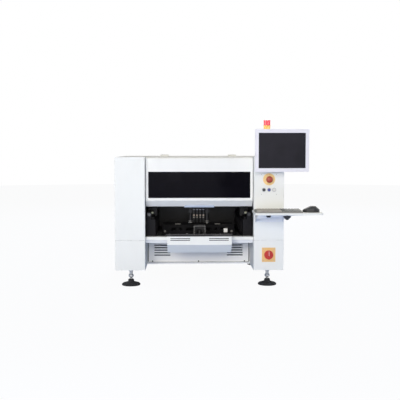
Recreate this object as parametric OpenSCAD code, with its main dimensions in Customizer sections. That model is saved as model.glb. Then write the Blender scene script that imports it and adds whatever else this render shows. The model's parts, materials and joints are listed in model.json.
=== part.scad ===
// Bench-top pick and place machine for surface mount boards.
// Machine coordinates: x from the middle of the housing, y back from the front faces of
// the columns, z up from the floor. place() moves them to the middle of the whole part.

/* [Housing] */
// Width over both columns
body_w = 1120; // [1080:10:1200]
// Depth from the column fronts to the rear cover
body_d = 1000; // [980:10:1100]
// Height of the housing above its underside
body_h = 752; // [730:2:800]
// Height of the underside above the floor
ground_clear = 110; // [100:1:140]
// Width of each column
col_w = 200; // [190:2:220]
// Height of the lower column covers
lower_h = 200; // [190:2:220]
// Thickness of the sheet metal
sheet_t = 2; // [1.5:0.5:3]
// Radius of the upright edges of the columns
col_r = 5; // [3:1:10]
// Visible joint between the upper and the lower covers
seam = 1; // [0.5:0.5:2]

/* [Front] */
// Set-back of the hood and the sill behind the columns
hood_back_set = 46; // [30:1:60]
// Set-back of the louvred panel behind the columns
panel_back_set = 290; // [260:5:340]
// Width of one louvre field
louvre_w = 112; // [80:2:130]
// Number of louvres in a field
louvre_n = 5; // [4:1:6]
// Distance between two louvres
louvre_pitch = 17.5; // [16:0.5:19]
// Height of the sill over the bed
sill_h = 22; // [18:1:30]
// Depth of the sill
sill_d = 52; // [44:2:70]

/* [Hood] */
// Height of the hood
hood_h = 332; // [300:2:360]
// Length of the hood's top, from its front to its hinges
hood_top_d = 354; // [320:2:400]
// Height of the bevelled lower band
bevel_h = 42; // [30:1:60]
// Depth of the bevelled lower band
bevel_d = 40; // [30:1:60]
// Radius of the hood's upper front edge
hood_r = 14; // [8:1:25]
// Depth of the hood's edge flanges
hood_flange = 24; // [15:1:30]
// Side gap between the hood and the columns
hood_gap = 3; // [2:0.5:6]
// Width of the window
window_w = 680; // [560:5:684]
// Height of the window
window_h = 175; // [140:5:190]
// Height of the window's lower edge over the hood's lower edge
window_lift = 59; // [54:1:70]
// Thickness of the window pane
window_t = 4; // [3:1:6]
// Width of the grip lip
grip_w = 200; // [120:10:260]
// Distance of each hinge from the middle
hinge_x = 240; // [180:5:300]
// Radius of the hinge knuckles
knuckle_r = 7; // [6:0.5:9]
// Radius of the hinge pins
hinge_pin_r = 3; // [2.5:0.5:4]

/* [Feeder dock] */
// Width of the dock box
dock_w = 426; // [380:2:460]
// Distance that the dock box stands out from the columns
dock_out = 20; // [10:1:40]
// Height of the dock box's front
dock_face_h = 56; // [45:1:70]
// Drop of the box's sloping underside
dock_slope_h = 60; // [40:2:70]
// Height of the dock box over the sill
dock_over = 11; // [8:1:16]
// Length of the dock's slots
slot_w = 130; // [100:2:150]
// Height of the dock's slots
slot_h = 5; // [4:0.5:7]
// Length of the feeder rail
rail_w = 456; // [420:2:500]
// Distance between two feeder places
feeder_pitch = 16; // [14:1:20]

/* [Gantry] */
// Width of each side beam
y_beam_w = 60; // [56:1:64]
// Height of the side beams over the bed
y_beam_h = 134; // [120:2:150]
// Length of the side beams
y_beam_len = 780; // [760:5:800]
// Width of the linear guide rails
guide_w = 15; // [12:1:20]
// Height of the linear guide rails
guide_h = 15; // [12:1:18]
// Radius of the side ball screws
y_screw_r = 8; // [6:0.5:9]
// Radius of the cross ball screw
x_screw_r = 6; // [5:0.5:7]
// Height and depth of the cross beam
x_beam_s = 80; // [76:1:90]
// Wall of the cross beam
x_beam_wall = 6; // [4:1:10]
// Distance of the cross beam behind the hood's front
x_beam_back = 284; // [276:2:310]
// Side of the drive motors
motor_s = 42; // [35:1:43]
// Length of the drive motors
motor_l = 44; // [36:1:48]
// Running clearance of shafts in their bores
run = 0.05; // [0.02:0.01:0.09]

/* [Head] */
// Distance between two spindles
spindle_pitch = 22; // [20:0.5:24]
// Radius of the spindle shafts
spindle_r = 4; // [3:0.5:4.5]
// Stroke of the spindles
spindle_stroke = 25; // [15:1:28]
// Height of the nozzle tips over the bed
nozzle_lift = 92; // [92:1:100]
// Height of the head housing
head_h = 103; // [95:1:120]
// Radius of the camera barrels
barrel_r = 12; // [10:0.5:13]

/* [Board clamp] */
// Distance from the hood's front to the front board rail
board_back = 364; // [350:2:380]
// Gap between the board rails' ends and the side beams
rail_side_gap = 36; // [20:2:90]
// Height of the board rails over the bed
board_rail_h = 64; // [54:1:66]
// Distance between the board rails
board_gap = 190; // [150:5:220]
// Distance of each guide shaft from the middle
shaft_x = 148; // [100:2:180]
// Radius of the guide shafts
shaft_r = 5; // [4:0.5:6]

/* [Operator panel] */
// Height of the stop button over the housing's underside
estop_rise = 605; // [590:1:620]
// Radius of the yellow disc
estop_disc_r = 40; // [35:1:45]
// Radius of the red mushroom
estop_cap_r = 22; // [18:1:25]
// Drop of the push buttons below the stop button
button_drop = 69; // [62:1:80]
// Distance between two push buttons
button_pitch = 34; // [30:1:40]
// Radius of the push buttons
button_r = 9.5; // [8:0.5:11]
// Width of the main switch plate
switch_w = 90; // [80:1:100]
// Height of the main switch plate
switch_h = 95; // [85:1:105]
// Height of the main switch over the housing's underside
switch_rise = 103; // [90:1:110]
// Radius of the main switch's knob
switch_knob_r = 30; // [26:1:36]

/* [Monitor] */
// Width of the monitor
monitor_w = 349; // [340:1:380]
// Height of the monitor
monitor_h = 276; // [260:1:290]
// Width of the screen
screen_w = 304; // [280:1:310]
// Height of the screen
screen_h = 228; // [210:1:236]
// Thickness of the monitor's frame
frame_t = 18; // [14:1:24]
// Depth of the monitor over all
monitor_d = 48; // [40:1:52]
// Distance of the screen in front of the columns
monitor_out = 100; // [95:1:120]
// Height of the monitor's middle over the housing's top
monitor_rise = 43; // [36:1:60]
// Distance of the monitor's middle from the column's middle
monitor_side = 72; // [60:1:76]

/* [Keyboard tray] */
// Width of the tray
tray_w = 430; // [400:2:460]
// Depth of the tray
tray_d = 250; // [220:2:280]
// Height of the tray's rim
tray_t = 12; // [8:1:16]
// Height of the tray's top over the housing's underside
tray_rise = 403; // [395:1:410]
// Gap between the tray and the column
tray_gap = 12; // [8:1:20]
// Distance that the tray reaches in past the column's inner side
tray_in = 15; // [0:1:25]
// Width of the keyboard
keyboard_w = 295; // [280:1:300]
// Depth of the keyboard
keyboard_d = 130; // [120:1:140]
// Length of the mouse
mouse_l = 112; // [100:1:116]
// Width of the mouse
mouse_w = 62; // [56:1:68]
// Height of the mouse
mouse_h = 38; // [32:1:42]

/* [Tower light] */
// Radius of the lenses
lens_r = 24; // [20:1:30]
// Height of one lens
lens_h = 37; // [30:1:45]
// Height of the whole tower
tower_h = 249; // [230:1:270]
// Distance of the tower behind the column's front
tower_y = 140; // [120:5:200]
// Radius of the pole
pole_r = 11; // [8:1:14]

/* [Feet] */
// Radius of the foot pads
pad_r = 62; // [50:1:70]
// Distance of the feet from the front and the rear
foot_inset = 75; // [72:1:90]
// Radius of the foot studs
stud_r = 8; // [6:0.5:10]

/* [Hidden] */
$fn = 48;

// Gap left between pieces that lie against each other
fit = 0.3;
// Overlap that joins the solids of one piece
eps = 0.01;
// Seam between two welded pieces
weld_gap = 0.02;

// Heights
base_z = ground_clear;
top_z = base_z + body_h;
seam_z = base_z + lower_h;
bed_drop = 4;
bed_z = seam_z - bed_drop;
bed_t = 20;
sill_z = bed_z + sill_h;

// Widths
half_w = body_w / 2;
bay_w = body_w - 2 * col_w;
bay_x = bay_w / 2;
col_mid = half_w - col_w / 2;

// Frame tubes
tube = 40;
tube_wall = 3;
tube_r = 4;
foot_plate_t = 12;
rear_tube_y = body_d - 100;

// Place of the whole part: the middle of its outer box is the origin
tray_x = bay_x - tray_in;
tray_right = tray_x + tray_w;
tray_front = -(tray_gap + tray_d);
rear_reach = 22;
mid_x = (tray_right - half_w) / 2;
mid_y = (tray_front + body_d + rear_reach) / 2;

// Moves the machine coordinates to the middle of the whole part
module place() {
    translate([-mid_x, -mid_y, 0]) children();
}

// Repeats a piece on the left and on the right
module both_sides() {
    children();
    mirror([1, 0, 0]) children();
}

// Points of an arc from angle a0 to a1
function arc(cy, cz, r, a0, a1, n) =
    [for (i = [0 : n]) let (a = a0 + (a1 - a0) * i / n) [cy + r * cos(a), cz + r * sin(a)]];

// Profile in the y-z plane, pulled along x from x0 for the length w
module along_x(x0, w) {
    translate([x0, 0, 0]) rotate([90, 0, 90]) linear_extrude(w) children();
}

// Round bar along x, y or z
module rod_x(x0, y, z, w, r) {
    translate([x0, y, z]) rotate([0, 90, 0]) cylinder(h = w, r = r);
}
module rod_y(x, y0, z, d, r) {
    translate([x, y0, z]) rotate([-90, 0, 0]) cylinder(h = d, r = r);
}
module rod_z(x, y, z0, h, r) {
    translate([x, y, z0]) cylinder(h = h, r = r);
}

// Block given by its low corner and its size
module block(x, y, z, w, d, h) {
    translate([x, y, z]) cube([w, d, h]);
}

// Rectangle with round corners
module round_rect(w, d, r) {
    translate([r, 0]) square([w - 2 * r, d]);
    translate([0, r]) square([w, d - 2 * r]);
    for (x = [r, w - r], y = [r, d - r]) translate([x, y]) circle(r, $fn = 24);
}

// Plate with round corners
module round_plate(x, y, z, w, d, h, r) {
    translate([x, y, z]) linear_extrude(h) round_rect(w, d, r);
}

// ---- Frame and bed ----

post_in = bay_x + sheet_t + fit;
post_out = half_w - sheet_t - fit - tube;
post_front = sheet_t + fit;
post_rear = body_d - sheet_t - fit - tube;
frame_floor = base_z + sheet_t + fit;
frame_top = top_z - sheet_t - fit;
cross_z = bed_z - bed_t - tube;
front_tube_y = panel_back_set + sheet_t;

// Square tube standing up on its foot plate, open inside
post_z = frame_floor + foot_plate_t + weld_gap;
module post(x, y) {
    translate([x, y, post_z]) linear_extrude(frame_top - post_z) difference() {
        round_rect(tube, tube, tube_r);
        translate([tube_wall, tube_wall]) round_rect(tube - 2 * tube_wall, tube - 2 * tube_wall, 1);
    }
}

// Plate at the bottom of a column that takes a foot stud
foot_plate_d = 2 * (foot_inset - post_front);
foot_plate_w = post_out + tube - post_in;
module foot_plate(stud_y) {
    translate([post_in, stud_y - foot_plate_d / 2, frame_floor]) linear_extrude(foot_plate_t) difference() {
        round_rect(foot_plate_w, foot_plate_d, tube_r);
        translate([col_mid - post_in, foot_plate_d / 2]) circle(stud_r);
    }
}

// Every tube ends a weld seam away from the tube that it meets
long_tube_y = post_front + tube + weld_gap;
long_tube_l = post_rear - weld_gap - long_tube_y;
tie_x = post_in + tube + weld_gap;
tie_w = post_out - weld_gap - tie_x;

module side_frame() {
    for (x = [post_in, post_out], y = [post_front, post_rear]) post(x, y);
    foot_plate(foot_inset);
    foot_plate(body_d - foot_inset);
    // Long tubes at the floor, under the bed and at the top
    for (z = [post_z, cross_z, frame_top - tube]) block(post_in, long_tube_y, z, tube, long_tube_l, tube);
    block(post_out, long_tube_y, frame_top - tube, tube, long_tube_l, tube);
    // Short ties between the upper ends
    for (y = [post_front, post_rear]) block(tie_x, y, frame_top - tube, tie_w, tube, tube);
}

module base_frame() color("dimgray") place() {
    both_sides() side_frame();
    for (y = [front_tube_y, rear_tube_y]) {
        block(-post_in + weld_gap, y, cross_z, 2 * (post_in - weld_gap), tube, tube);
    }
    // Floor of the cabinet between the columns
    block(-bay_x + fit, panel_back_set + sheet_t, base_z, bay_w - 2 * fit,
        body_d - sheet_t - fit - panel_back_set - sheet_t, sheet_t);
}

module machine_bed() color("#3a3d42") place() {
    bed_front = hood_back_set + sill_h * 0.6;
    bed_rear = body_d - tube;
    difference() {
        block(-bay_x + fit, bed_front, bed_z - bed_t, bay_w - 2 * fit, bed_rear - bed_front, bed_t);
        // Cable passages beside the board clamp
        for (x = [-1, 1]) {
            block(x * bay_w / 3 - 20, bed_rear - 160, bed_z - bed_t - eps, tube, 90, bed_t + 2 * eps);
        }
    }
}

// ---- Column covers ----

// Outline of a column seen from above, smaller all round by inset
module column_outline(inset) {
    translate([bay_x + inset, inset])
        round_rect(col_w - 2 * inset, body_d - 2 * inset, max(col_r - inset, 0.5));
}

module column_tube(z0, h) {
    translate([0, 0, z0]) linear_extrude(h) difference() {
        column_outline(0);
        column_outline(sheet_t);
    }
}

module upper_cover() {
    z0 = seam_z + seam;
    column_tube(z0, top_z - z0);
    // Roof and its rim
    translate([0, 0, top_z - sheet_t]) linear_extrude(sheet_t) column_outline(0);
}

// Openings in the inner side for the two cross tubes
module cross_tube_notches() {
    for (y = [front_tube_y, rear_tube_y]) {
        block(bay_x - sheet_t, y - fit, cross_z - fit, 3 * sheet_t, tube + 2 * fit, seam_z);
    }
}

module lower_cover() {
    difference() {
        union() {
            column_tube(base_z, lower_h);
            translate([0, 0, base_z]) linear_extrude(sheet_t) column_outline(0);
        }
        cross_tube_notches();
        for (y = [foot_inset, body_d - foot_inset]) rod_z(col_mid, y, base_z - eps, 2 * sheet_t, stud_r + 2);
    }
}

module left_upper_cover() color("#ecedea") place() mirror([1, 0, 0]) upper_cover();
module left_lower_cover() color("#ecedea") place() mirror([1, 0, 0]) lower_cover();
module right_lower_cover() color("#e4e7e8") place() difference() {
    lower_cover();
    // Shaft hole of the main switch
    rod_y(col_mid, -eps, base_z + switch_rise, 2 * sheet_t, switch_shaft_r + 2);
}

estop_z = base_z + estop_rise;
button_z = estop_z - button_drop;
estop_stem_r = 9;
switch_shaft_r = 7;

module right_upper_cover() color("#e4e5e0") place() difference() {
    upper_cover();
    rod_y(col_mid, -eps, estop_z, 2 * sheet_t, estop_stem_r + 1);
    for (i = [-1 : 1]) rod_y(col_mid + i * button_pitch, -eps, button_z, 2 * sheet_t, button_r + 1);
}

// ---- Middle covers ----

hood_front = hood_back_set;
hood_rear = hood_front + hood_top_d;
hinge_y = hood_rear + 2;
hinge_z = top_z + knuckle_r + fit;

// Top strip behind the hood, folded down at its front and rear
module top_cover() color("#dcdfe0") place() {
    y0 = hood_rear + 4;
    d = body_d - sheet_t - fit - y0;
    difference() {
        block(-bay_x + fit, y0, top_z - tube, bay_w - 2 * fit, d, tube);
        block(-bay_x, y0 + sheet_t, top_z - tube - eps, bay_w, d - 2 * sheet_t, tube - sheet_t);
    }
    // Bar that ties the two column frames behind the hinges
    block(-bay_x + fit, y0 + sheet_t - eps, top_z - sheet_t - tube / 2, bay_w - 2 * fit, tube, tube / 2);
}

// A field of level slots, cut through a panel in the x-z plane
module slots(x, z, w, n, pitch, h, y, d) {
    for (i = [0 : n - 1]) block(x, y, z + i * pitch, w, d, h);
}

louvre_h = 9;
louvre_z = base_z + 55;
louvre_lip = 5;
vent_drop = 200;
vent_side = 120;
module rear_cover() color("#dcdfe0") place() {
    y0 = body_d - sheet_t;
    difference() {
        block(-bay_x + fit, y0, base_z, bay_w - 2 * fit, sheet_t, body_h);
        for (z = [louvre_z, top_z - vent_drop]) for (x = [-louvre_w - vent_side, vent_side]) {
            slots(x, z, louvre_w, louvre_n, louvre_pitch, louvre_h, y0 - eps, 2 * sheet_t);
        }
        // Openings of the mains inlet and the air fitting
        block(inlet_x - inlet_w / 2, y0 - eps, inlet_z - inlet_h / 2, inlet_w, 2 * sheet_t, inlet_h);
        rod_y(air_x, y0 - eps, inlet_z, 2 * sheet_t, air_body_r);
    }
}

// Louvred panel between the columns, with folded upper and lower edges
module lower_front_panel() color("#d2d4d8") place() {
    z0 = base_z - 4;
    h = cross_z + tube - z0;
    w = bay_w - 2 * fit;
    lip = 14;
    fold = 9;
    difference() {
        union() {
            block(-w / 2, panel_back_set, z0, w, sheet_t, h);
            // Folded lower lip that stands out to the front
            block(-w / 2, panel_back_set - fold, z0 + lip, w, fold + eps, sheet_t);
            // Upright folded edges along the columns
            for (x = [-w / 2, w / 2 - sheet_t]) {
                block(x, panel_back_set - fold, z0 + lip, sheet_t, fold + eps, h - lip);
            }
        }
        for (x = [-dock_w / 2 - louvre_w + 14, dock_w / 2 - 14]) {
            slots(x, louvre_z, louvre_w, louvre_n, louvre_pitch, louvre_h,
                panel_back_set - eps, 2 * sheet_t);
        }
    }
    // Upper edge of each slot, bent inwards
    for (x = [-dock_w / 2 - louvre_w + 14, dock_w / 2 - 14], i = [0 : louvre_n - 1]) {
        z = louvre_z + i * louvre_pitch + louvre_h;
        y = panel_back_set + sheet_t - eps;
        along_x(x, louvre_w) polygon([[y, z], [y + louvre_lip, z - 2], [y + louvre_lip, z - 1], [y, z + 1.5]]);
    }
}

// ---- Sill and feeder dock ----

module dock_sill() color("#dfe4ea") place() {
    w = bay_w - 2 * fit;
    y0 = hood_front;
    y1 = y0 + sill_d;
    along_x(-w / 2, w) polygon([[y0, bed_z], [y0, sill_z], [y1, sill_z], [y1, bed_z],
        [y1 - sheet_t, bed_z], [y1 - sheet_t, sill_z - sheet_t],
        [y0 + sheet_t, sill_z - sheet_t], [y0 + sheet_t, bed_z]]);
}

dock_front = -dock_out;
dock_top = sill_z + dock_over;
dock_face_z = dock_top - dock_face_h;
dock_low = dock_face_z - dock_slope_h;

module dock_profile(inset) {
    polygon([[dock_front + inset, dock_top - inset], [dock_front + inset, dock_face_z + inset / 2],
        [hood_front - 2 - inset, dock_low + inset * 1.4], [hood_front - inset, dock_low + inset * 1.4],
        [hood_front - inset, dock_top - inset]]);
}

module dock_box() color("#e3e9f1") place() difference() {
    along_x(-dock_w / 2, dock_w) dock_profile(0);
    along_x(-dock_w / 2 + sheet_t, dock_w - 2 * sheet_t) dock_profile(sheet_t);
    for (x = [-slot_w / 2 - dock_w * 0.3, dock_w * 0.3 - slot_w / 2]) {
        slots(x, dock_face_z + dock_face_h / 2, slot_w, 2, 2.2 * slot_h, slot_h, dock_front - eps, 2 * sheet_t);
    }
}

// Rail with a notch for the nose of each feeder, and chamfered ends
rail_y = hood_front + 26;
rail_d = 14;
rail_h = 14;
module dock_rail() color("#6d7075") place() {
    n = floor((rail_w - 3 * rail_h) / feeder_pitch);
    difference() {
        translate([0, rail_y + rail_d, sill_z]) rotate([90, 0, 0]) linear_extrude(rail_d)
            polygon([[-rail_w / 2, 0], [rail_w / 2, 0], [rail_w / 2, rail_h * 0.4],
                [rail_w / 2 - rail_h * 0.6, rail_h], [-rail_w / 2 + rail_h * 0.6, rail_h],
                [-rail_w / 2, rail_h * 0.4]]);
        for (i = [0 : n]) {
            block((i - n / 2) * feeder_pitch - 2.5, rail_y - eps, sill_z + rail_h / 2, 5, rail_d / 2, rail_h);
        }
    }
    // Lower tongue that fixes the rail to the sill
    for (x = [-1, 1]) rod_z(x * (rail_w / 2 + 1 - rail_d / 2), rail_y + rail_d + 6, sill_z, 6, 5);
}

// ---- Hood ----

hood_low = top_z - hood_h;
hood_w = bay_w - 2 * hood_gap;
bevel_len = norm([bevel_d, bevel_h]);

// Skin of the hood in the y-z plane, t thick measured inwards
function hood_outer() = concat([[hood_rear, top_z]],
    arc(hood_front + hood_r, top_z - hood_r, hood_r, 90, 180, 6),
    [[hood_front, hood_low + bevel_h], [hood_front + bevel_d, hood_low]]);
function hood_inner(t) = concat(
    [[hood_front + bevel_d, hood_low + t * bevel_len / bevel_d],
     [hood_front + t, hood_low + bevel_h + t * (bevel_len - bevel_h) / bevel_d]],
    arc(hood_front + max(hood_r, t), top_z - max(hood_r, t), max(hood_r - t, eps), 180, 90, 6),
    [[hood_rear, top_z - t]]);

module hood_skin(t) {
    polygon(concat(hood_outer(), hood_inner(t)));
}

window_z = hood_low + window_lift;
leaf_w = 56;
leaf_t = 3;
leaf_d = 34;
knuckle_w = 20;

// Leaf and middle knuckle of one hinge, on the hood
module hood_leaf(x) {
    difference() {
        union() {
            block(x - leaf_w / 2, hood_rear - leaf_d, top_z - eps, leaf_w, leaf_d - knuckle_r + 1, leaf_t);
            block(x - knuckle_w / 2, hood_rear - leaf_d, top_z, knuckle_w, leaf_d + 2, leaf_t);
            rod_x(x - knuckle_w / 2, hinge_y, hinge_z, knuckle_w, knuckle_r);
        }
        rod_x(x - knuckle_w, hinge_y, hinge_z, 2 * knuckle_w, hinge_pin_r + run);
    }
}

module hood_shell() color("#f4f5f1") place() {
    difference() {
        union() {
            along_x(-hood_w / 2, hood_w) hood_skin(sheet_t);
            for (x = [-hood_w / 2, hood_w / 2 - sheet_t]) along_x(x, sheet_t) hood_skin(hood_flange);
            // Folded edge behind the bevel
            block(-hood_w / 2, hood_front + bevel_d - eps, hood_low + sheet_t * 0.3,
                hood_w, hood_flange / 2, sheet_t);
        }
        block(-window_w / 2, hood_front - eps, window_z, window_w, 2 * sheet_t, window_h);
    }
    // Grip lip under the middle of the lower edge
    along_x(-grip_w / 2, grip_w) polygon([[hood_front + bevel_d - 9, hood_low + 9],
        [hood_front + bevel_d - 9, hood_low - 3], [hood_front + bevel_d - 5, hood_low - 7],
        [hood_front + bevel_d + 8, hood_low - 7], [hood_front + bevel_d + 8, hood_low - 4],
        [hood_front + bevel_d - 3, hood_low - 4], [hood_front + bevel_d - 5, hood_low - 2],
        [hood_front + bevel_d - 5, hood_low + 7]]);
    both_sides() hood_leaf(hinge_x);
}

// Tinted pane with a step that sits in the window opening
module hood_window() color([0.13, 0.13, 0.16, 0.8]) place() {
    edge = 8;
    block(-window_w / 2 - edge, hood_front + sheet_t + eps, window_z - edge,
        window_w + 2 * edge, window_t - 1, window_h + 2 * edge);
    block(-window_w / 2 + fit, hood_front + 0.6, window_z + fit,
        window_w - 2 * fit, sheet_t, window_h - 2 * fit);
}

// Base leaf, outer knuckles and pin of one hinge, on the top cover
module hinge_base(x) {
    gap = fit;
    side_w = (leaf_w - knuckle_w) / 2 - gap;
    y1 = hood_rear + 4;
    for (x0 = [x - leaf_w / 2, x + knuckle_w / 2 + gap]) {
        rod_x(x0, hinge_y, hinge_z, side_w, knuckle_r);
        block(x0, hinge_y, top_z + knuckle_r * 1.2, side_w, knuckle_r + 4, leaf_t);
        block(x0, y1 + 1, top_z, side_w, 8, knuckle_r * 1.2 + leaf_t);
    }
    block(x - leaf_w / 2, y1 + 6, top_z, leaf_w, leaf_d, leaf_t);
    rod_x(x - leaf_w / 2 - 2, hinge_y, hinge_z, leaf_w + 4, hinge_pin_r);
}

module hood_hinge_bases() color("#b9bcc0") place() both_sides() hinge_base(hinge_x);

// ---- Gantry ----

y_beam_x = bay_x - 4 - y_beam_w;
y_beam_front = hood_front + sill_d + 2;
x_beam_y = hood_front + x_beam_back;
guide_x = y_beam_x + 16;
y_screw_x = bay_x - motor_s / 2 - 1;
beam_top = bed_z + y_beam_h;
y_screw_z = beam_top + motor_s / 2 + 13;
y_rear = y_beam_front + y_beam_len;
bearing_d = 18;
bearing_w = 2 * y_screw_r + 16;

// Linear guide rail lying along y, with the waist of a profiled rail
module guide_profile() {
    polygon([[-guide_w / 2, 0], [guide_w / 2, 0], [guide_w / 2, guide_h * 0.3],
        [guide_w * 0.36, guide_h * 0.45], [guide_w * 0.36, guide_h * 0.6],
        [guide_w / 2, guide_h * 0.75], [guide_w / 2, guide_h], [-guide_w / 2, guide_h],
        [-guide_w / 2, guide_h * 0.75], [-guide_w * 0.36, guide_h * 0.6],
        [-guide_w * 0.36, guide_h * 0.45], [-guide_w / 2, guide_h * 0.3]]);
}

// Motor body with cut corners
module motor_block(x, y, z, s, l) {
    c = s * 0.12;
    translate([x, y, z]) rotate([-90, 0, 0]) linear_extrude(l) polygon([[-s / 2 + c, -s / 2],
        [s / 2 - c, -s / 2], [s / 2, -s / 2 + c], [s / 2, s / 2 - c], [s / 2 - c, s / 2],
        [-s / 2 + c, s / 2], [-s / 2, s / 2 - c], [-s / 2, -s / 2 + c]]);
}

module y_beam() {
    pockets = 4;
    pocket_d = 8;
    pitch = (y_beam_len - 60) / pockets;
    difference() {
        union() {
            block(y_beam_x, y_beam_front, bed_z, y_beam_w, y_beam_len, y_beam_h);
            for (y = [y_beam_front, y_rear - bearing_d]) {
                block(y_screw_x - bearing_w / 2, y, beam_top + weld_gap,
                    bearing_w, bearing_d, y_screw_z - beam_top + bearing_w / 2);
            }
        }
        // Shallow fields in the inner face of the casting
        for (i = [0 : pockets - 1]) {
            block(y_beam_x - eps, y_beam_front + 45 + i * pitch, bed_z + 25,
                pocket_d, pitch - 30, y_beam_h - 50);
        }
        rod_y(y_screw_x, y_beam_front - eps, y_screw_z, y_beam_len + 1, y_screw_r + run);
    }
    // Guide rail on top
    translate([guide_x, y_rear - bearing_d - 4, beam_top + weld_gap]) rotate([90, 0, 0])
        linear_extrude(y_beam_len - 2 * bearing_d - 8) guide_profile();
    // Drive motor behind the rear bearing
    motor_block(y_screw_x, y_rear + weld_gap, y_screw_z, motor_s, motor_l);
}

module y_beams() color("#2e3034") place() both_sides() y_beam();

// Ball screw with a bright nut at its front end
module y_screw(x) {
    rod_y(x, y_beam_front - 5, y_screw_z, y_beam_len + 4, y_screw_r);
    rod_y(x, y_beam_front - 7, y_screw_z, 6.5, y_screw_r + 3);
}
module y_screw_left() color("silver") place() y_screw(-y_screw_x);
module y_screw_right() color("silver") place() y_screw(y_screw_x);

carriage_gap = 0.15;
block_top = beam_top + guide_h + 13;
end_plate_z = y_screw_z + y_screw_r + 10;
end_plate_t = 12;
x_beam_z = end_plate_z + end_plate_t;
x_beam_half = bay_x - 10;
block_w = guide_w + 19;
block_l = 48;

// Space around a guide rail inside its carriage
module guide_slot(l) {
    linear_extrude(l) translate([-guide_w / 2 - carriage_gap, -guide_h])
        square([guide_w + 2 * carriage_gap, 2 * guide_h + carriage_gap]);
}

// Everything that stands on one side beam and carries the cross beam
foot_half = 60;
web_z = block_top + weld_gap;
module beam_foot() {
    mid = x_beam_y + x_beam_s / 2;
    // Guide blocks on the side rail
    difference() {
        for (y = [mid - foot_half, mid + foot_half - block_l]) {
            block(guide_x - block_w / 2, y, beam_top + 4, block_w, block_l, block_top - beam_top - 4);
        }
        translate([guide_x, mid + foot_half + 1, beam_top]) rotate([90, 0, 0]) guide_slot(2 * foot_half + 2);
    }
    // Web and end plate that carry the beam
    block(y_beam_x - 2, mid - foot_half, web_z, y_screw_x - bearing_w / 2 - y_beam_x,
        2 * foot_half, end_plate_z - weld_gap - web_z);
    block(y_beam_x - 4, mid - foot_half, end_plate_z, bay_x - 4 - y_beam_x, 2 * foot_half, end_plate_t);
    // Nut of the side ball screw
    difference() {
        block(y_screw_x - y_screw_r - 6, mid - 20, y_screw_z - y_screw_r - 8,
            2 * y_screw_r + 12, 40, end_plate_z - weld_gap - y_screw_z + y_screw_r + 8);
        rod_y(y_screw_x, mid - 21, y_screw_z, 42, y_screw_r + run);
    }
}

x_screw_y = x_beam_y - motor_s / 2 - 1;
x_screw_z = x_beam_z + x_beam_s / 2;
x_rail_off = x_beam_s / 2 - guide_w / 2 - 2;
x_bearing_x = x_beam_half - motor_l - 14;

// Bearing of the cross ball screw on the beam's front face
module x_bearing(x) {
    difference() {
        block(x, x_screw_y - x_screw_r - 8, x_screw_z - x_screw_r - 8,
            14, x_beam_y - weld_gap - x_screw_y + x_screw_r + 8, 2 * x_screw_r + 16);
        rod_x(x - 1, x_screw_y, x_screw_z, 16, x_screw_r + run);
    }
}

module x_beam() color("#26282c") place() {
    both_sides() beam_foot();
    difference() {
        block(-x_beam_half, x_beam_y, x_beam_z + weld_gap, 2 * x_beam_half, x_beam_s, x_beam_s);
        block(-x_beam_half - eps, x_beam_y + x_beam_wall, x_beam_z + weld_gap + x_beam_wall,
            2 * x_beam_half + 2 * eps, x_beam_s - 2 * x_beam_wall, x_beam_s - 2 * x_beam_wall);
    }
    // Two guide rails on the front face
    for (z = [x_screw_z - x_rail_off, x_screw_z + x_rail_off]) {
        translate([-x_bearing_x + 2, x_beam_y - weld_gap, z]) rotate([90, 0, 90]) rotate([0, 0, 90])
            linear_extrude(2 * x_bearing_x - 4) guide_profile();
    }
    both_sides() x_bearing(x_bearing_x);
    translate([-x_bearing_x - 14 - weld_gap, x_screw_y, x_screw_z]) rotate([0, 0, 90])
        motor_block(0, 0, 0, motor_s, motor_l);
}

module x_screw() color("silver") place()
    rod_x(-x_bearing_x - 13, x_screw_y, x_screw_z, 2 * x_bearing_x + 28, x_screw_r);

// ---- Head ----

plate_y = x_beam_y - guide_h - 27;
plate_t = 12;
head_rise = 99;
spindle_set = 26;
head_half = 3 * spindle_pitch + 4;
head_low = bed_z + nozzle_lift + head_rise;
spindle_y = plate_y - spindle_set;
housing_d = 42;
housing_half = 1.5 * spindle_pitch + spindle_r + 7;
function spindle_x(i) = (i - 2.5) * spindle_pitch;

module head_carriage() color("#1f2124") place() {
    block_h = guide_w + 15;
    face = plate_y + plate_t;
    // Plate that carries the head
    block(-head_half, plate_y, head_low + 3, 2 * head_half, plate_t, head_h - 3);
    // Four guide blocks around the two rails
    for (z = [x_screw_z - x_rail_off, x_screw_z + x_rail_off], x = [-head_half + 8, head_half - 8 - block_l]) {
        difference() {
            block(x, face - eps, z - block_h / 2, block_l, x_beam_y - 6 - face, block_h);
            block(x - 1, x_beam_y - guide_h - carriage_gap, z - guide_w / 2 - carriage_gap,
                block_l + 2, guide_h + 1, guide_w + 2 * carriage_gap);
        }
    }
    // Nut of the cross ball screw
    difference() {
        block(-14, face - eps, x_screw_z - x_screw_r - 5, 28, x_screw_y - face + x_screw_r + 5, 2 * x_screw_r + 10);
        rod_x(-15, x_screw_y, x_screw_z, 30, x_screw_r + run);
    }
    // Shelf of the lifting motors
    block(-head_half, plate_y, head_low + head_h - eps, 2 * head_half, plate_t + 10, 4);
}

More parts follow.
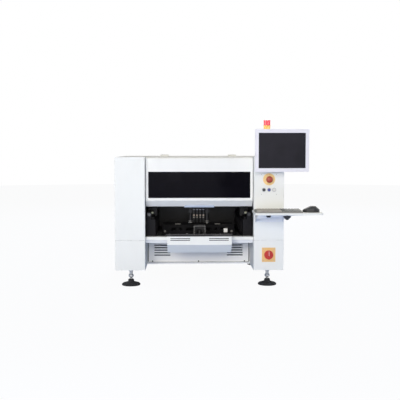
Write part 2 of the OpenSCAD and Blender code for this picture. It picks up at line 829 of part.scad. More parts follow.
camera_x = housing_half + 2 + barrel_r;
camera_low = bed_z + nozzle_lift + 5;
module head_housing() color("#17181a") place() {
    difference() {
        union() {
            block(-housing_half, plate_y - housing_d, head_low, 2 * housing_half, housing_d, head_h);
            // Steps of the casting under the air valves
            block(-housing_half, plate_y - housing_d - 6, head_low + head_h * 0.45,
                2 * housing_half, 6 + eps, head_h * 0.3);
        }
        for (i = [1 : 4]) rod_z(spindle_x(i), spindle_y, head_low - 1, head_h + 2, spindle_r + run);
    }
    // Cameras that look down, one on each side
    for (side = [-1, 1]) {
        rod_z(side * camera_x, spindle_y, camera_low, 70, barrel_r);
        rod_z(side * camera_x, spindle_y, camera_low, 14, barrel_r + 1.4);
        block(side * camera_x - barrel_r, spindle_y - barrel_r, camera_low + 70 - eps,
            2 * barrel_r, plate_y - spindle_y + barrel_r, 52);
    }
    // Lifting motors on the shelf
    for (i = [1 : 4]) block(spindle_x(i) - spindle_pitch * 0.45, plate_y, head_low + head_h + 4,
        spindle_pitch * 0.9, spindle_pitch * 0.9, 32);
}

collar_r = spindle_r + 3.5;
nozzle_z = bed_z + nozzle_lift;
sleeve_z = nozzle_z + 38;
module spindle(i) {
    x = spindle_x(i);
    rod_z(x, spindle_y, sleeve_z + 8, head_low + head_h + spindle_stroke + 14 - sleeve_z - 8, spindle_r);
    // Lower collar stops the spindle when it is up, upper collar when it is down
    rod_z(x, spindle_y, head_low - 9, 9 - fit, collar_r);
    rod_z(x, spindle_y, head_low + head_h + spindle_stroke + fit, 6, collar_r);
}
module spindle_1() color("silver") place() spindle(1);
module spindle_2() color("silver") place() spindle(2);
module spindle_3() color("silver") place() spindle(3);
module spindle_4() color("silver") place() spindle(4);

// Holder sleeve, reflector disc and tip of one nozzle, turned about its own axis
module nozzle(i) {
    translate([spindle_x(i), spindle_y, nozzle_z]) difference() {
        rotate_extrude() polygon([[0, 0], [1, 0], [1.6, 7], [2.6, 9], [3.6, 22], [5, 24], [5, 32],
            [9, 34], [9, 36.5], [5.5, 38], [spindle_r + 2.2, 39], [spindle_r + 2.2, 60], [0, 60]]);
        translate([0, 0, 38 + 8 - fit]) cylinder(h = 30, r = spindle_r + run);
        translate([0, 0, -1]) cylinder(h = 60, r = 0.6);
    }
}
module nozzle_1() color("#c9a45c") place() nozzle(1);
module nozzle_2() color("#c9a45c") place() nozzle(2);
module nozzle_3() color("#c9a45c") place() nozzle(3);
module nozzle_4() color("#c9a45c") place() nozzle(4);

// ---- Board clamp, camera and bin on the bed ----

board_y = hood_front + board_back;
board_rail_w = 2 * (y_beam_x - rail_side_gap);
board_rail_t = 12;
shaft_z = bed_z + board_rail_h * 0.55;
shaft_end_y = board_y + board_gap + 110;

// Rail with a ledge for the board and cut-outs in its web
module board_rail(y, flip) {
    step = flip ? 0 : board_rail_t - 4;
    difference() {
        block(-board_rail_w / 2, y, bed_z + (flip ? 8 : 0), board_rail_w, board_rail_t, board_rail_h - (flip ? 8 : 0));
        block(-board_rail_w / 2 - 1, y + step - eps, bed_z + board_rail_h - 5, board_rail_w + 2, 4 + 2 * eps, 6);
        for (x = [-1.5 : 1 : 1.5]) {
            block(x * board_rail_w / 5 - board_rail_w / 14, y - 1, bed_z + 24, board_rail_w / 7, board_rail_t + 2, 22);
        }
        if (flip) for (x = [-shaft_x, shaft_x]) rod_y(x, y - 1, shaft_z, board_rail_t + 2, shaft_r + run);
    }
}

module front_board_rail() color("#8b8e93") place() {
    board_rail(board_y, false);
    for (x = [-shaft_x, shaft_x]) {
        rod_y(x, board_y + board_rail_t - eps, shaft_z, shaft_end_y - board_y - board_rail_t, shaft_r);
        block(x - 10, shaft_end_y - eps, bed_z, 20, 14, shaft_z - bed_z + 12);
        // Solid place in the web where the shaft is fixed
        block(x - 12, board_y, shaft_z - 12, 24, board_rail_t, 20);
    }
}

bush_out = 8;
module rear_board_rail() color("#8b8e93") place() {
    y = board_y + board_rail_t + board_gap;
    board_rail(y, true);
    // Sliding bushes with their clamp knobs
    for (x = [-shaft_x, shaft_x]) difference() {
        union() {
            rod_y(x, y - bush_out, shaft_z, board_rail_t + bush_out + 14, shaft_r + 6);
            rod_z(x, y + board_rail_t + 6, shaft_z, shaft_r + 12, 4);
            rod_z(x, y + board_rail_t + 6, shaft_z + shaft_r + 12 - eps, 8, 10);
        }
        rod_y(x, y - bush_out - 1, shaft_z, board_rail_t + bush_out + 16, shaft_r + run);
    }
}

// Camera that looks up, in a light box that spreads at its foot
camera_y = hood_front + 94;
module vision_camera() color("#2b2c2f") place() {
    w = 78;
    foot_w = 98;
    d = 84;
    h = nozzle_lift - 6;
    translate([4, camera_y + d, bed_z]) difference() {
        rotate([90, 0, 0]) linear_extrude(d) polygon([[-foot_w / 2, 0], [foot_w / 2, 0],
            [foot_w / 2, 8], [w / 2, 24], [w / 2, h], [-w / 2, h], [-w / 2, 24], [-foot_w / 2, 8]]);
        // Open well of the light box and its front window
        block(-w / 2 + 5, -d + 5, 26, w - 10, d - 10, h);
        block(-w / 2 + 8, -d - 1, 30, w - 16, 8, h - 36);
    }
    // Lens barrel at the bottom of the well
    rod_z(4, camera_y + d / 2, bed_z + 25, 30, 15);
}

// Open box for parts that were not placed
bin_x = 185;
module reject_box() color("#f2f2f0") place() {
    s = 25;
    y = hood_front + 150;
    block(bin_x - 7, y + 6, bed_z, 14, 14, 35);
    difference() {
        block(bin_x - s / 2, y, bed_z + 35 - eps, s, s, s);
        block(bin_x - s / 2 + 2, y + 2, bed_z + 37, s - 4, s - 4, s);
    }
}

// ---- Operator panel ----

disc_t = 3;
collar_l = 18;
bezel_t = 4;

module panel_bezels() color("#e8c53a") place() {
    // Yellow disc and collar of the stop button
    difference() {
        union() {
            rod_y(col_mid, -disc_t, estop_z, disc_t, estop_disc_r);
            rod_y(col_mid, -collar_l, estop_z, collar_l, estop_stem_r + 7);
        }
        rod_y(col_mid, -collar_l - 1, estop_z, collar_l + 2, estop_stem_r + run);
    }
    // Rings of the three push buttons
    for (i = [-1 : 1]) difference() {
        rod_y(col_mid + i * button_pitch, -bezel_t, button_z, bezel_t, button_r + 4);
        rod_y(col_mid + i * button_pitch, -bezel_t - 1, button_z, bezel_t + 2, button_r + run);
    }
}

// Mushroom head on its stem
estop_travel = 6;
module estop_cap() color("#c8372f") place() {
    y0 = -collar_l - estop_travel - fit;
    rod_y(col_mid, y0 - 1, estop_z, 12 - y0, estop_stem_r);
    translate([col_mid, y0, estop_z]) rotate([90, 0, 0]) rotate_extrude() polygon(concat(
        [[0, 0], [estop_cap_r - 3, 0], [estop_cap_r, 3]],
        [for (p = arc(0, 0, estop_cap_r, 0, 90, 9)) [p[0], 4 + p[1] * 0.5]]));
}

// Cap of a push button in its ring
module push_button(i) {
    rod_y(col_mid + i * button_pitch, -bezel_t - 5, button_z, 5 + bezel_t + 10, button_r);
}
module black_button() color("#222222") place() push_button(-1);
module blue_button() color("#2f3f94") place() push_button(0);
module white_button() color("#dcdcd6") place() push_button(1);

switch_z = base_z + switch_rise;
switch_plate_t = 4;
module isolator_plate() color("#f0c84c") place() {
    difference() {
        translate([col_mid - switch_w / 2, 0, switch_z - switch_h / 2]) rotate([90, 0, 0])
            linear_extrude(switch_plate_t) round_rect(switch_w, switch_h, 3);
        rod_y(col_mid, -switch_plate_t - 1, switch_z, switch_plate_t + 2, switch_shaft_r + run);
    }
}

module isolator_knob() color("#c9362c") place() {
    y0 = -switch_plate_t - fit;
    rod_y(col_mid, y0 - 1, switch_z, 12 - y0, switch_shaft_r);
    translate([col_mid, y0, switch_z]) rotate([90, 0, 0]) rotate_extrude()
        polygon([[0, 0], [switch_knob_r, 0], [switch_knob_r, 9], [switch_knob_r - 2, 11], [0, 11]]);
    // Handle bar across the knob
    translate([col_mid - 8, y0 - 10, switch_z - switch_knob_r + 2]) rotate([90, 0, 0])
        linear_extrude(18) round_rect(16, 2 * switch_knob_r - 4, 6);
}

// ---- Monitor on its arm ----

monitor_x = col_mid + monitor_side;
monitor_z = top_z + monitor_rise;
screen_y = -monitor_out;
shell_y = screen_y + monitor_d;
tilt_y = shell_y + 16;
swivel_y = tilt_y + 24;
pin_r = 4;
lug_t = 8;
lug_gap = 24;

module monitor_post() color("#9a9da1") place() {
    post_y = swivel_y + 16;
    w = 40;
    x0 = monitor_x - w / 2;
    block(x0 - 20, post_y - 2, top_z, min(w + 36, half_w - x0 + 16), w + 24, 4);
    difference() {
        block(x0, post_y, top_z, w, w, monitor_z - top_z + lug_gap / 2 + lug_t + fit);
        block(x0 + 3, post_y + 3, top_z + 4, w - 6, w - 6, monitor_z - top_z - lug_gap);
    }
    // Two lugs and the upright pin
    for (z = [monitor_z - lug_gap / 2 - lug_t - fit, monitor_z + lug_gap / 2 + fit]) {
        block(monitor_x - 12, swivel_y, z, 24, 17, lug_t);
        rod_z(monitor_x, swivel_y, z, lug_t, 12);
    }
    rod_z(monitor_x, swivel_y, monitor_z - lug_gap / 2 - lug_t, lug_gap + 2 * lug_t, pin_r);
}

module monitor_link() color("#85888c") place() difference() {
    union() {
        rod_z(monitor_x, swivel_y, monitor_z - lug_gap / 2, lug_gap, 11);
        block(monitor_x - 8, tilt_y, monitor_z - 9, 16, swivel_y - tilt_y, 18);
        rod_x(monitor_x - 12, tilt_y, monitor_z, 24, 9);
    }
    rod_z(monitor_x, swivel_y, monitor_z - lug_gap, 2 * lug_gap, pin_r + run);
    rod_x(monitor_x - 20, tilt_y, monitor_z, 40, pin_r + run);
}

// Front frame, rear shell with sloping sides, and the plate with its two ears
module monitor_shell() color("#e6e5ee") place() {
    x0 = monitor_x - monitor_w / 2;
    z0 = monitor_z - monitor_h / 2;
    sx = monitor_x - screen_w / 2;
    sz = monitor_z - screen_h / 2;
    difference() {
        translate([x0, screen_y + frame_t, z0]) rotate([90, 0, 0])
            linear_extrude(frame_t) round_rect(monitor_w, monitor_h, 6);
        block(sx, screen_y - eps, sz, screen_w, 6, screen_h);
    }
    // Rear shell steps in towards the arm
    back = monitor_d - frame_t;
    intersection() {
        along_x(x0 + 16, monitor_w - 32) polygon([[screen_y + frame_t - eps, z0 + 12],
            [shell_y - back * 0.55, z0 + 22], [shell_y, z0 + 52], [shell_y, z0 + monitor_h - 70],
            [shell_y - back * 0.55, z0 + monitor_h - 24], [screen_y + frame_t - eps, z0 + monitor_h - 12]]);
        translate([monitor_x, 0, z0]) linear_extrude(monitor_h) polygon([
            [-monitor_w / 2 + 16, screen_y + frame_t - 1], [monitor_w / 2 - 16, screen_y + frame_t - 1],
            [monitor_w / 2 - 30, shell_y - back * 0.55], [monitor_w / 2 - 70, shell_y],
            [-monitor_w / 2 + 70, shell_y], [-monitor_w / 2 + 30, shell_y - back * 0.55]]);
    }
    block(monitor_x - 50, shell_y - eps, monitor_z - 50, 100, 3, 100);
    for (x = [monitor_x - 12 - fit - lug_t, monitor_x + 12 + fit]) {
        block(x, shell_y, monitor_z - 10, lug_t, tilt_y - shell_y, 20);
        rod_x(x, tilt_y, monitor_z, lug_t, 10);
    }
    rod_x(monitor_x - 12 - lug_t, tilt_y, monitor_z, 24 + 2 * lug_t, pin_r);
}

module monitor_screen() color("#34333a") place()
    block(monitor_x - screen_w / 2 + fit, screen_y + 2, monitor_z - screen_h / 2 + fit,
        screen_w - 2 * fit, 4 - eps, screen_h - 2 * fit);

// ---- Keyboard tray ----

tray_z = base_z + tray_rise;
tray_low = tray_z - tray_t;
bracket_x = bay_x + 8;
bracket_t = 4;
bracket_w = 282;
bracket_h = 64;
bracket_d = tray_gap + tray_d - 25;
knob_y = -bracket_d + 32;
knob_left_x = bracket_x + 66;
knob_right_x = bracket_x + 184;
tray_travel = 35;
bolt_r = 4;
flange_z = tray_low - fit - bracket_t;

module tray_bracket() color("#c9d3e2") place() {
    gusset_y = knob_y + 44;
    difference() {
        block(bracket_x, -bracket_d, flange_z, bracket_w, bracket_d, bracket_t);
        // Slots for the clamp bolts
        for (x = [knob_left_x, knob_right_x]) {
            block(x - tray_travel - bolt_r - 1, knob_y - bolt_r - 0.5, flange_z - 1,
                2 * (tray_travel + bolt_r + 1), 2 * bolt_r + 1, bracket_t + 2);
        }
    }
    // Folded lip that tapers towards the free end
    translate([0, gusset_y, 0]) rotate([90, 0, 0]) linear_extrude(bracket_t) polygon([
        [bracket_x, flange_z + eps], [bracket_x, flange_z - 26],
        [bracket_x + bracket_w, flange_z - 3], [bracket_x + bracket_w, flange_z + eps]]);
    // Flange on the column and two gussets
    block(bracket_x, -bracket_t, flange_z - bracket_h, col_w - 16, bracket_t, bracket_h + eps);
    for (x = [bracket_x, bracket_x + col_w - 16 - bracket_t]) along_x(x, bracket_t) polygon([
        [-eps, flange_z + eps], [-eps, flange_z - bracket_h], [-bracket_t, flange_z - bracket_h],
        [gusset_y - bracket_t / 2, flange_z - 8], [gusset_y - bracket_t / 2, flange_z + eps]]);
}

// Folded sheet tray with a rim all round its underside
module tray() color("#f3f5f8") place() {
    y0 = tray_front;
    difference() {
        round_plate(tray_x, y0, tray_low, tray_w, tray_d, tray_t, 24);
        difference() {
            round_plate(tray_x + 3, y0 + 3, tray_low - eps, tray_w - 6, tray_d - 6, tray_t - 3, 21);
            // Blocks under the plate that rest on the bracket
            block(bracket_x, -bracket_d, tray_low - 1, bracket_w, 60, tray_t);
            block(bracket_x, -60, tray_low - 1, bracket_w, 40, tray_t);
        }
        for (x = [knob_left_x, knob_right_x]) rod_z(x, knob_y, tray_low - 1, tray_t - 2, bolt_r + run);
    }
}

// Clamp knob: bolt, washer face and a head that narrows downwards
module tray_knob(x, r_top, r_low, drop, h) {
    z1 = flange_z - drop;
    rod_z(x, knob_y, z1 - 1, tray_z - 4 - z1, bolt_r);
    translate([x, knob_y, z1 - h]) rotate_extrude()
        polygon([[0, 0], [r_low - 1.5, 0], [r_low, 1.5], [r_top, h - 5], [r_top, h], [0, h]]);
}
module tray_knob_left() color("#202124") place() tray_knob(knob_left_x, 15, 12, fit, 15);
module tray_knob_right() color("#202124") place() tray_knob(knob_right_x, 25, 8, 7, 24);

// Keyboard: a wedge with rows of keys
key_rows = 6;
key_cols = 15;
key_gap = 2.4;
keyboard_x = tray_x + 6;
keyboard_y = tray_front + 14;
case_front = 9;
case_rear = 15;
key_tilt = atan((case_rear - case_front) / keyboard_d);

module keyboard_case() color("#85847f") place() {
    r = 5;
    difference() {
        round_plate(keyboard_x, keyboard_y, tray_z, keyboard_w, keyboard_d, case_rear, r);
        translate([keyboard_x - 1, keyboard_y, tray_z + case_front]) rotate([key_tilt, 0, 0])
            cube([keyboard_w + 2, keyboard_d + 10, 2 * case_rear]);
    }
}

// Keys of one row, given as widths in key units
module key_row(row, widths) {
    pitch_x = (keyboard_w - 14) / key_cols;
    pitch_y = (keyboard_d - 14) / key_rows;
    starts = [for (i = 0, s = 0; i < len(widths); s = s + widths[i], i = i + 1) s];
    for (i = [0 : len(widths) - 1]) {
        w = widths[i] * pitch_x - key_gap;
        d = pitch_y - key_gap;
        translate([7 + starts[i] * pitch_x + key_gap / 2, 7 + row * pitch_y + key_gap / 2, 0]) {
            cube([w, d, 3]);
            translate([1.4, 1.2, 3 - eps]) cube([w - 2.8, d - 2.4, 2.2]);
        }
    }
}

function ones(n) = [for (i = [1 : n]) 1];
module keyboard_keys() color("#525654") place() {
    translate([keyboard_x, keyboard_y, tray_z + case_front]) rotate([key_tilt, 0, 0]) {
        key_row(0, concat([1.5, 1, 1.5], [5], ones(3), [1.5, 1.5]));
        key_row(1, concat([2.25], ones(10), [1.75, 1]));
        key_row(2, concat([1.75], ones(11), [2.25]));
        key_row(3, concat([1.5], ones(12), [1.5]));
        key_row(4, concat(ones(13), [2]));
        key_row(5, ones(15));
    }
}

// Mouse, lying across with its buttons to the left
mouse_x = keyboard_x + keyboard_w + 6;
mouse_y = keyboard_y + 46;
mouse_mid = mouse_y + mouse_w / 2;
module mouse_solid(inset) {
    hull() {
        translate([mouse_x + 14 + inset, mouse_mid, tray_z + fit]) cylinder(h = 8 - inset, r = 14, $fn = 28);
        translate([mouse_x + 40, mouse_mid, tray_z + fit]) cylinder(h = 20 - inset, r = mouse_w / 2 - 3 - inset, $fn = 32);
        translate([mouse_x + 70, mouse_mid, tray_z + fit]) cylinder(h = 24 - inset, r = mouse_w / 2 - inset, $fn = 32);
        translate([mouse_x + 68, mouse_mid, tray_z + mouse_h - 12 - inset]) cylinder(h = 12, r = 18, $fn = 28);
        translate([mouse_x + mouse_l - 24 - inset, mouse_mid, tray_z + fit]) cylinder(h = 16, r = 24 - inset, $fn = 32);
    }
}

split_x = mouse_x + 50;
shell_drop = 2.2;
click_gap = 1.5;
wheel_r = 10;
wheel_x = mouse_x + 26;
wheel_z = tray_z + 14;
module mouse_body() color("#26282b") place() difference() {
    mouse_solid(0);
    // Room for the button shell and the wheel
    difference() {
        block(mouse_x - 1, mouse_y - 1, tray_z + 5, split_x - mouse_x + 1, mouse_w + 2, mouse_h);
        mouse_solid(shell_drop + click_gap);
    }
    block(wheel_x - wheel_r - 1, mouse_mid - 4, wheel_z - wheel_r - 0.5, 2 * wheel_r + 2, 8, mouse_h);
}

module mouse_top() color("#303236") place() difference() {
    intersection() {
        mouse_solid(0);
        block(mouse_x - 1, mouse_y - 1, tray_z + 7, split_x - mouse_x + 1 - fit, mouse_w + 2, mouse_h);
    }
    mouse_solid(shell_drop);
    block(wheel_x - wheel_r - 1, mouse_mid - 4, tray_z, 2 * wheel_r + 2, 8, mouse_h);
}

module mouse_wheel() color("#8a8c90") place()
    rod_y(wheel_x, mouse_mid - 3.2, wheel_z, 6.4, wheel_r);

// ---- Tower light ----

module tower_pole() color("#3b3d40") place() {
    z1 = top_z + tower_h - 3 * lens_h;
    translate([col_mid, tower_y, top_z]) rotate_extrude() polygon([[0, 0], [35, 0], [35, 3], [33, 5],
        [pole_r + 5, 7], [pole_r + 3, 16], [pole_r, 18], [pole_r, z1 - top_z - 24],
        [lens_r - 2, z1 - top_z - 20], [lens_r, z1 - top_z - 18], [lens_r, z1 - top_z], [0, z1 - top_z]]);
}

// Green, yellow and red lens, each with a rim, and the cap
module tower_lenses() color("#e05a50") place() {
    z0 = top_z + tower_h - 3 * lens_h;
    for (i = [0 : 2]) {
        crown = i == 2 ? [[lens_r, lens_h - 5], [lens_r - 3, lens_h - 1], [lens_r - 8, lens_h], [0, lens_h]]
            : [[lens_r, lens_h - fit], [0, lens_h - fit]];
        translate([col_mid, tower_y, z0 + i * lens_h]) rotate_extrude()
            polygon(concat([[0, 0], [lens_r, 0], [lens_r, 3], [lens_r - 1.2, 4], [lens_r - 1.2, lens_h - 8],
                [lens_r, lens_h - 7]], crown));
    }
}

// ---- Feet ----

// Repeats a piece at the four feet
module at_feet() {
    for (x = [-col_mid, col_mid], y = [foot_inset, body_d - foot_inset]) translate([x, y, 0]) children();
}

hub_h = 42;
hub_r = pad_r * 0.32;
nut_h = 24;
nut_r = 2 * stud_r + 1;
sleeve_h = 20;
module foot_pads() color("#1c1d1f") place() at_feet() difference() {
    rotate_extrude() polygon([[0, 0], [pad_r - 2, 0], [pad_r, 2], [pad_r, 9], [pad_r - 5, 13],
        [pad_r * 0.6, 19], [hub_r + 5, 23], [hub_r, 28], [hub_r, hub_h - 5], [hub_r - 5, hub_h], [0, hub_h]]);
    translate([0, 0, 14]) cylinder(h = hub_h, r = stud_r + fit);
}

module foot_studs() color("#9b9ea2") place() at_feet() {
    translate([0, 0, 14]) cylinder(h = frame_floor + foot_plate_t - 14, r = stud_r);
    // Lock nut under the column, sleeve, and adjusting nut over the pad
    translate([0, 0, base_z - 16]) cylinder(h = 14, r = 2 * stud_r - 1, $fn = 6);
    translate([0, 0, base_z - 15 - sleeve_h]) cylinder(h = sleeve_h, r = stud_r + 2.5);
    translate([0, 0, base_z - 14 - sleeve_h - nut_h]) {
        cylinder(h = nut_h / 4 + eps, r1 = stud_r + 2, r2 = nut_r, $fn = 6);
        translate([0, 0, nut_h / 4]) cylinder(h = nut_h / 2, r = nut_r, $fn = 6);
        translate([0, 0, nut_h * 3 / 4 - eps]) cylinder(h = nut_h / 4, r1 = nut_r, r2 = stud_r + 2.5, $fn = 6);
    }
}

// ---- Cabinet and rear ----

unit_gap = 40;
computer_w = 300;
computer_d = 340;
computer_h = 90;
supply_w = 110;
supply_d = 215;
supply_h = 60;
pump_w = 90;
pump_l = 120;
pump_base_h = 12;
pump_r = 48;
cabinet_air = 80;
module cabinet_units() color("#6f747a") place() {
    z0 = base_z + sheet_t;
    y0 = panel_back_set + sheet_t + tube + cabinet_air;
    // Control computer, power supply and vacuum pump, on the cabinet floor
    block(-bay_x + unit_gap, y0, z0, computer_w, computer_d, computer_h);
    block(-bay_x + computer_w + 2 * unit_gap, y0, z0, supply_w, supply_d, supply_h);
    translate([bay_x - pump_w - unit_gap, y0 + unit_gap, z0]) {
        cube([pump_w, pump_l, pump_base_h]);
        translate([pump_w / 2, 0, pump_base_h + pump_r]) rotate([-90, 0, 0]) cylinder(h = pump_l, r = pump_r);
        translate([pump_w / 4, pump_l / 4, pump_base_h + 1.6 * pump_r]) cube([pump_w / 2, pump_l / 2, pump_r * 0.7]);
    }
}

inlet_w = 48;
inlet_h = 28;
inlet_side = 110;
air_side = 190;
inlet_x = bay_x - inlet_side;
inlet_z = base_z + 32;
air_x = bay_x - air_side;
air_body_r = 9;
air_bore_r = 4.05;
module rear_inlets() color("#2a2b2d") place() {
    // Mains inlet with its recess
    difference() {
        union() {
            block(inlet_x - inlet_w / 2 - 6, body_d, inlet_z - inlet_h / 2 - 4, inlet_w + 12, 3, inlet_h + 8);
            block(inlet_x - inlet_w / 2 + fit, body_d - 30, inlet_z - inlet_h / 2 + fit,
                inlet_w - 2 * fit, 30 + eps, inlet_h - 2 * fit);
        }
        block(inlet_x - 12, body_d - 18, inlet_z - 8, 24, 30, 16);
    }
    // Push-in fitting for the air tube
    difference() {
        union() {
            rod_y(air_x, body_d - 14, inlet_z, 14 + rear_reach, air_body_r - fit);
            translate([air_x, body_d, inlet_z]) rotate([-90, 0, 0]) cylinder(h = 8, r = 14, $fn = 6);
        }
        rod_y(air_x, body_d + 2, inlet_z, rear_reach, air_bore_r);
    }
}

base_frame();
machine_bed();
left_upper_cover();
left_lower_cover();
right_upper_cover();
right_lower_cover();
top_cover();
rear_cover();
lower_front_panel();
dock_sill();
dock_box();
dock_rail();
foot_pads();
foot_studs();
cabinet_units();
y_beams();
front_board_rail();
rear_board_rail();
vision_camera();
reject_box();
hood_hinge_bases();
hood_shell();
hood_window();
x_beam();
y_screw_left();
y_screw_right();
x_screw();
head_carriage();
head_housing();
spindle_1();
spindle_2();
spindle_3();
spindle_4();
nozzle_1();
nozzle_2();
nozzle_3();
nozzle_4();
panel_bezels();
estop_cap();
black_button();
blue_button();
white_button();
isolator_plate();
isolator_knob();
monitor_post();
monitor_link();
monitor_shell();
monitor_screen();
tray_bracket();
tray();
tray_knob_left();
tray_knob_right();
keyboard_case();
keyboard_keys();
mouse_body();
mouse_top();
mouse_wheel();
tower_pole();
tower_lenses();
rear_inlets();
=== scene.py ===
# Bench-top pick and place machine, dressed over its CAD frame.
import json
import math

import bmesh
import bpy
from mathutils import Matrix, Vector


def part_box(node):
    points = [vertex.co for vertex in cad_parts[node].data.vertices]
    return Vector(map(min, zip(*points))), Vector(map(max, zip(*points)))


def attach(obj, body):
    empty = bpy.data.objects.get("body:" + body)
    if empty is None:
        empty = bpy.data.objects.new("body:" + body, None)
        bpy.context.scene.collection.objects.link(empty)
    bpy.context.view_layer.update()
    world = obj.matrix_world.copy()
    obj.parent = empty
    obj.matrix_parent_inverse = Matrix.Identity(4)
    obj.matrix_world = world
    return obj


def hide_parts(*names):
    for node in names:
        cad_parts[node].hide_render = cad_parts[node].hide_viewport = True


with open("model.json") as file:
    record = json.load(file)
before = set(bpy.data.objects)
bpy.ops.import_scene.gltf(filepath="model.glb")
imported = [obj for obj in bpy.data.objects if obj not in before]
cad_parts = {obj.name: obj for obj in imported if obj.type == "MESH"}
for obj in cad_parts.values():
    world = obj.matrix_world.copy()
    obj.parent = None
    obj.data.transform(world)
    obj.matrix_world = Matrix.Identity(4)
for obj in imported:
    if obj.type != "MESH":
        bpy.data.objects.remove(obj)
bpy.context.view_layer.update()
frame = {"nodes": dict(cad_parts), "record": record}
mm = 0.001
print("frame loaded with", len(frame["nodes"]), "nodes")


# shader helpers


def tint(red, green, blue):
    # screen colour, 0 to 255, turned into the linear colour that shaders take
    def linear(value):
        part = value / 255
        return part / 12.92 if part <= 0.04045 else ((part + 0.055) / 1.055) ** 2.4
    return (linear(red), linear(green), linear(blue), 1.0)


class Wire:
    # a shader value that takes part in Python expressions
    def __init__(self, finish, socket):
        self.finish, self.socket = finish, socket

    def maths(self, operation, first, second):
        return self.finish.node("ShaderNodeMath", {"operation": operation}, {0: first, 1: second})

    def __add__(self, other):
        return self.maths("ADD", self, other)

    def __sub__(self, other):
        return self.maths("SUBTRACT", self, other)

    def __mul__(self, other):
        return self.maths("MULTIPLY", self, other)

    def __gt__(self, other):
        return self.maths("GREATER_THAN", self, other)

    def __lt__(self, other):
        return self.maths("LESS_THAN", self, other)

    def __abs__(self):
        return self.maths("ABSOLUTE", self, 0)

    __radd__ = __add__


class Finish:
    # one material, built up from values and expressions
    def __init__(self, name, colour, roughness, metallic=0.0, **fixed):
        self.material = bpy.data.materials.new(name)
        self.material.use_nodes = True
        self.material.diffuse_color = colour
        self.tree = self.material.node_tree
        self.shader = self.tree.nodes["Principled BSDF"]
        self.feed("Base Color", colour)
        self.feed("Roughness", roughness)
        self.feed("Metallic", metallic)
        for key, value in fixed.items():
            self.feed(key.replace("_", " "), value)
        self.place = self.node("ShaderNodeTexCoord", {}, {}, "Object")

    def node(self, kind, settings, values, output=0):
        made = self.tree.nodes.new(kind)
        for key, value in settings.items():
            setattr(made, key, value)
        for key, value in values.items():
            self.join(made.inputs[key], value)
        return Wire(self, made.outputs[output])

    def join(self, socket, value):
        # a value reaches a socket as a link or as a constant
        if isinstance(value, Wire):
            self.tree.links.new(value.socket, socket)
        else:
            socket.default_value = value

    def feed(self, name, value):
        self.join(self.shader.inputs[name], value)

    def noise(self, scale, detail=3.0, stretch=(1, 1, 1)):
        where = self.node("ShaderNodeMapping", {}, {"Vector": self.place, "Scale": stretch})
        return self.node("ShaderNodeTexNoise", {}, {"Vector": where, "Scale": scale, "Detail": detail}, 0)

    def ramp(self, value, low, high):
        # spreads the values between low and high over 0 to 1
        return self.node("ShaderNodeMapRange", {"clamp": True},
                         {"Value": value, "From Min": low, "From Max": high}, 0)

    def blend(self, factor, first, second):
        return self.node("ShaderNodeMix", {"data_type": "RGBA"}, {0: factor, 6: first, 7: second}, 2)

    def relief(self, height, strength, distance=0.001):
        self.feed("Normal", self.node("ShaderNodeBump", {},
                                      {"Height": height, "Strength": strength, "Distance": distance}))


def shade(colour, factor):
    return tuple(min(part * factor, 1.0) for part in colour[:3]) + (1.0,)


def shadedTop(made):
    # 1 on the level faces at the top of the machine, which are given painted shade
    face = made.node("ShaderNodeTexCoord", {}, {}, "Normal")
    level = made.node("ShaderNodeSeparateXYZ", {}, {0: face}, 2) > 0.9
    return level * (made.node("ShaderNodeSeparateXYZ", {}, {0: made.place}, 2) > topShade["from"])


# finishes

# painted shade on the level top faces: the height it starts from, its darker tone and its added roughness
topShade = {"from": 0.80, "tone": 0.84, "rough": 0.45}
paint = {"gloss": 0.42, "peel": (620.0, 1.0), "peelDepth": 0.16, "peelHeight": 0.0004, "drift": (2.6, 2.0),
         "driftSpan": (0.35, 0.65), "driftTone": 0.965, "smear": (19.0, 4.0, (1, 1, 0.35)),
         "smearSpan": (0.5, 0.72), "smearTone": 0.86, "smearRough": 0.10, "touched": 0.1}


def coated(made, tone, colour, roughness, handled):
    # fine peel, a film where hands reach, and painted shade with a rougher finish on the level top faces; gives
    # the colour that all this leaves
    smear = made.ramp(made.noise(*paint["smear"]), *paint["smearSpan"])
    topShadeMask = shadedTop(made)
    made.feed("Roughness", roughness + smear * paint["smearRough"] + topShadeMask * topShade["rough"])
    made.relief(made.noise(*paint["peel"]), paint["peelDepth"], paint["peelHeight"])
    worn = made.blend(smear * handled, tone, shade(colour, paint["smearTone"]))
    # the level top faces are darkened here: painted shade
    return made.blend(topShadeMask, worn, shade(colour, topShade["tone"]))


def paintFinish(name, colour, roughness, handled=0.0):
    # powder coat whose tone drifts slowly
    made = Finish(name, colour, roughness, Specular_IOR_Level=paint["gloss"])
    drift = made.ramp(made.noise(*paint["drift"]), *paint["driftSpan"])
    tone = made.blend(drift, shade(colour, paint["driftTone"]), colour)
    made.feed("Base Color", coated(made, tone, colour, roughness, handled))
    return made.material


def liningAndShadeFinish(name, outside, secondTone, roughness, secondShare):
    # two colours on one node: a second coat on lined faces, painted shade on the hood's lip and a darker top on
    # the dock box; the share function gives the second one's share from the place's three parts
    made = Finish(name, outside, roughness, Specular_IOR_Level=paint["gloss"])
    parts = [made.node("ShaderNodeSeparateXYZ", {}, {0: made.place}, index) for index in range(3)]
    tone = coated(made, outside, outside, roughness, paint["touched"])
    made.feed("Base Color", made.blend(secondShare(*parts), tone, secondTone))
    return made.material


brush = {"streak": (14.0, 5.0), "across": 26.0, "span": (0.3, 0.7), "tones": (0.84, 1.08), "rough": 0.16,
         "mean": 0.07, "depth": 0.10, "height": 0.0003}


def brushedFinish(name, colour, roughness, along, metallic=1.0):
    # drawn or milled metal: streaks that run along one axis
    made = Finish(name, colour, roughness, metallic)
    stretch = tuple(1.0 if axis == along else brush["across"] for axis in "xyz")
    streak = made.noise(*brush["streak"], stretch)
    dark, light = (shade(colour, tone) for tone in brush["tones"])
    made.feed("Base Color", made.blend(made.ramp(streak, *brush["span"]), dark, light))
    made.feed("Roughness", (roughness - brush["mean"]) + streak * brush["rough"])
    made.relief(streak, brush["depth"], brush["height"])
    return made.material


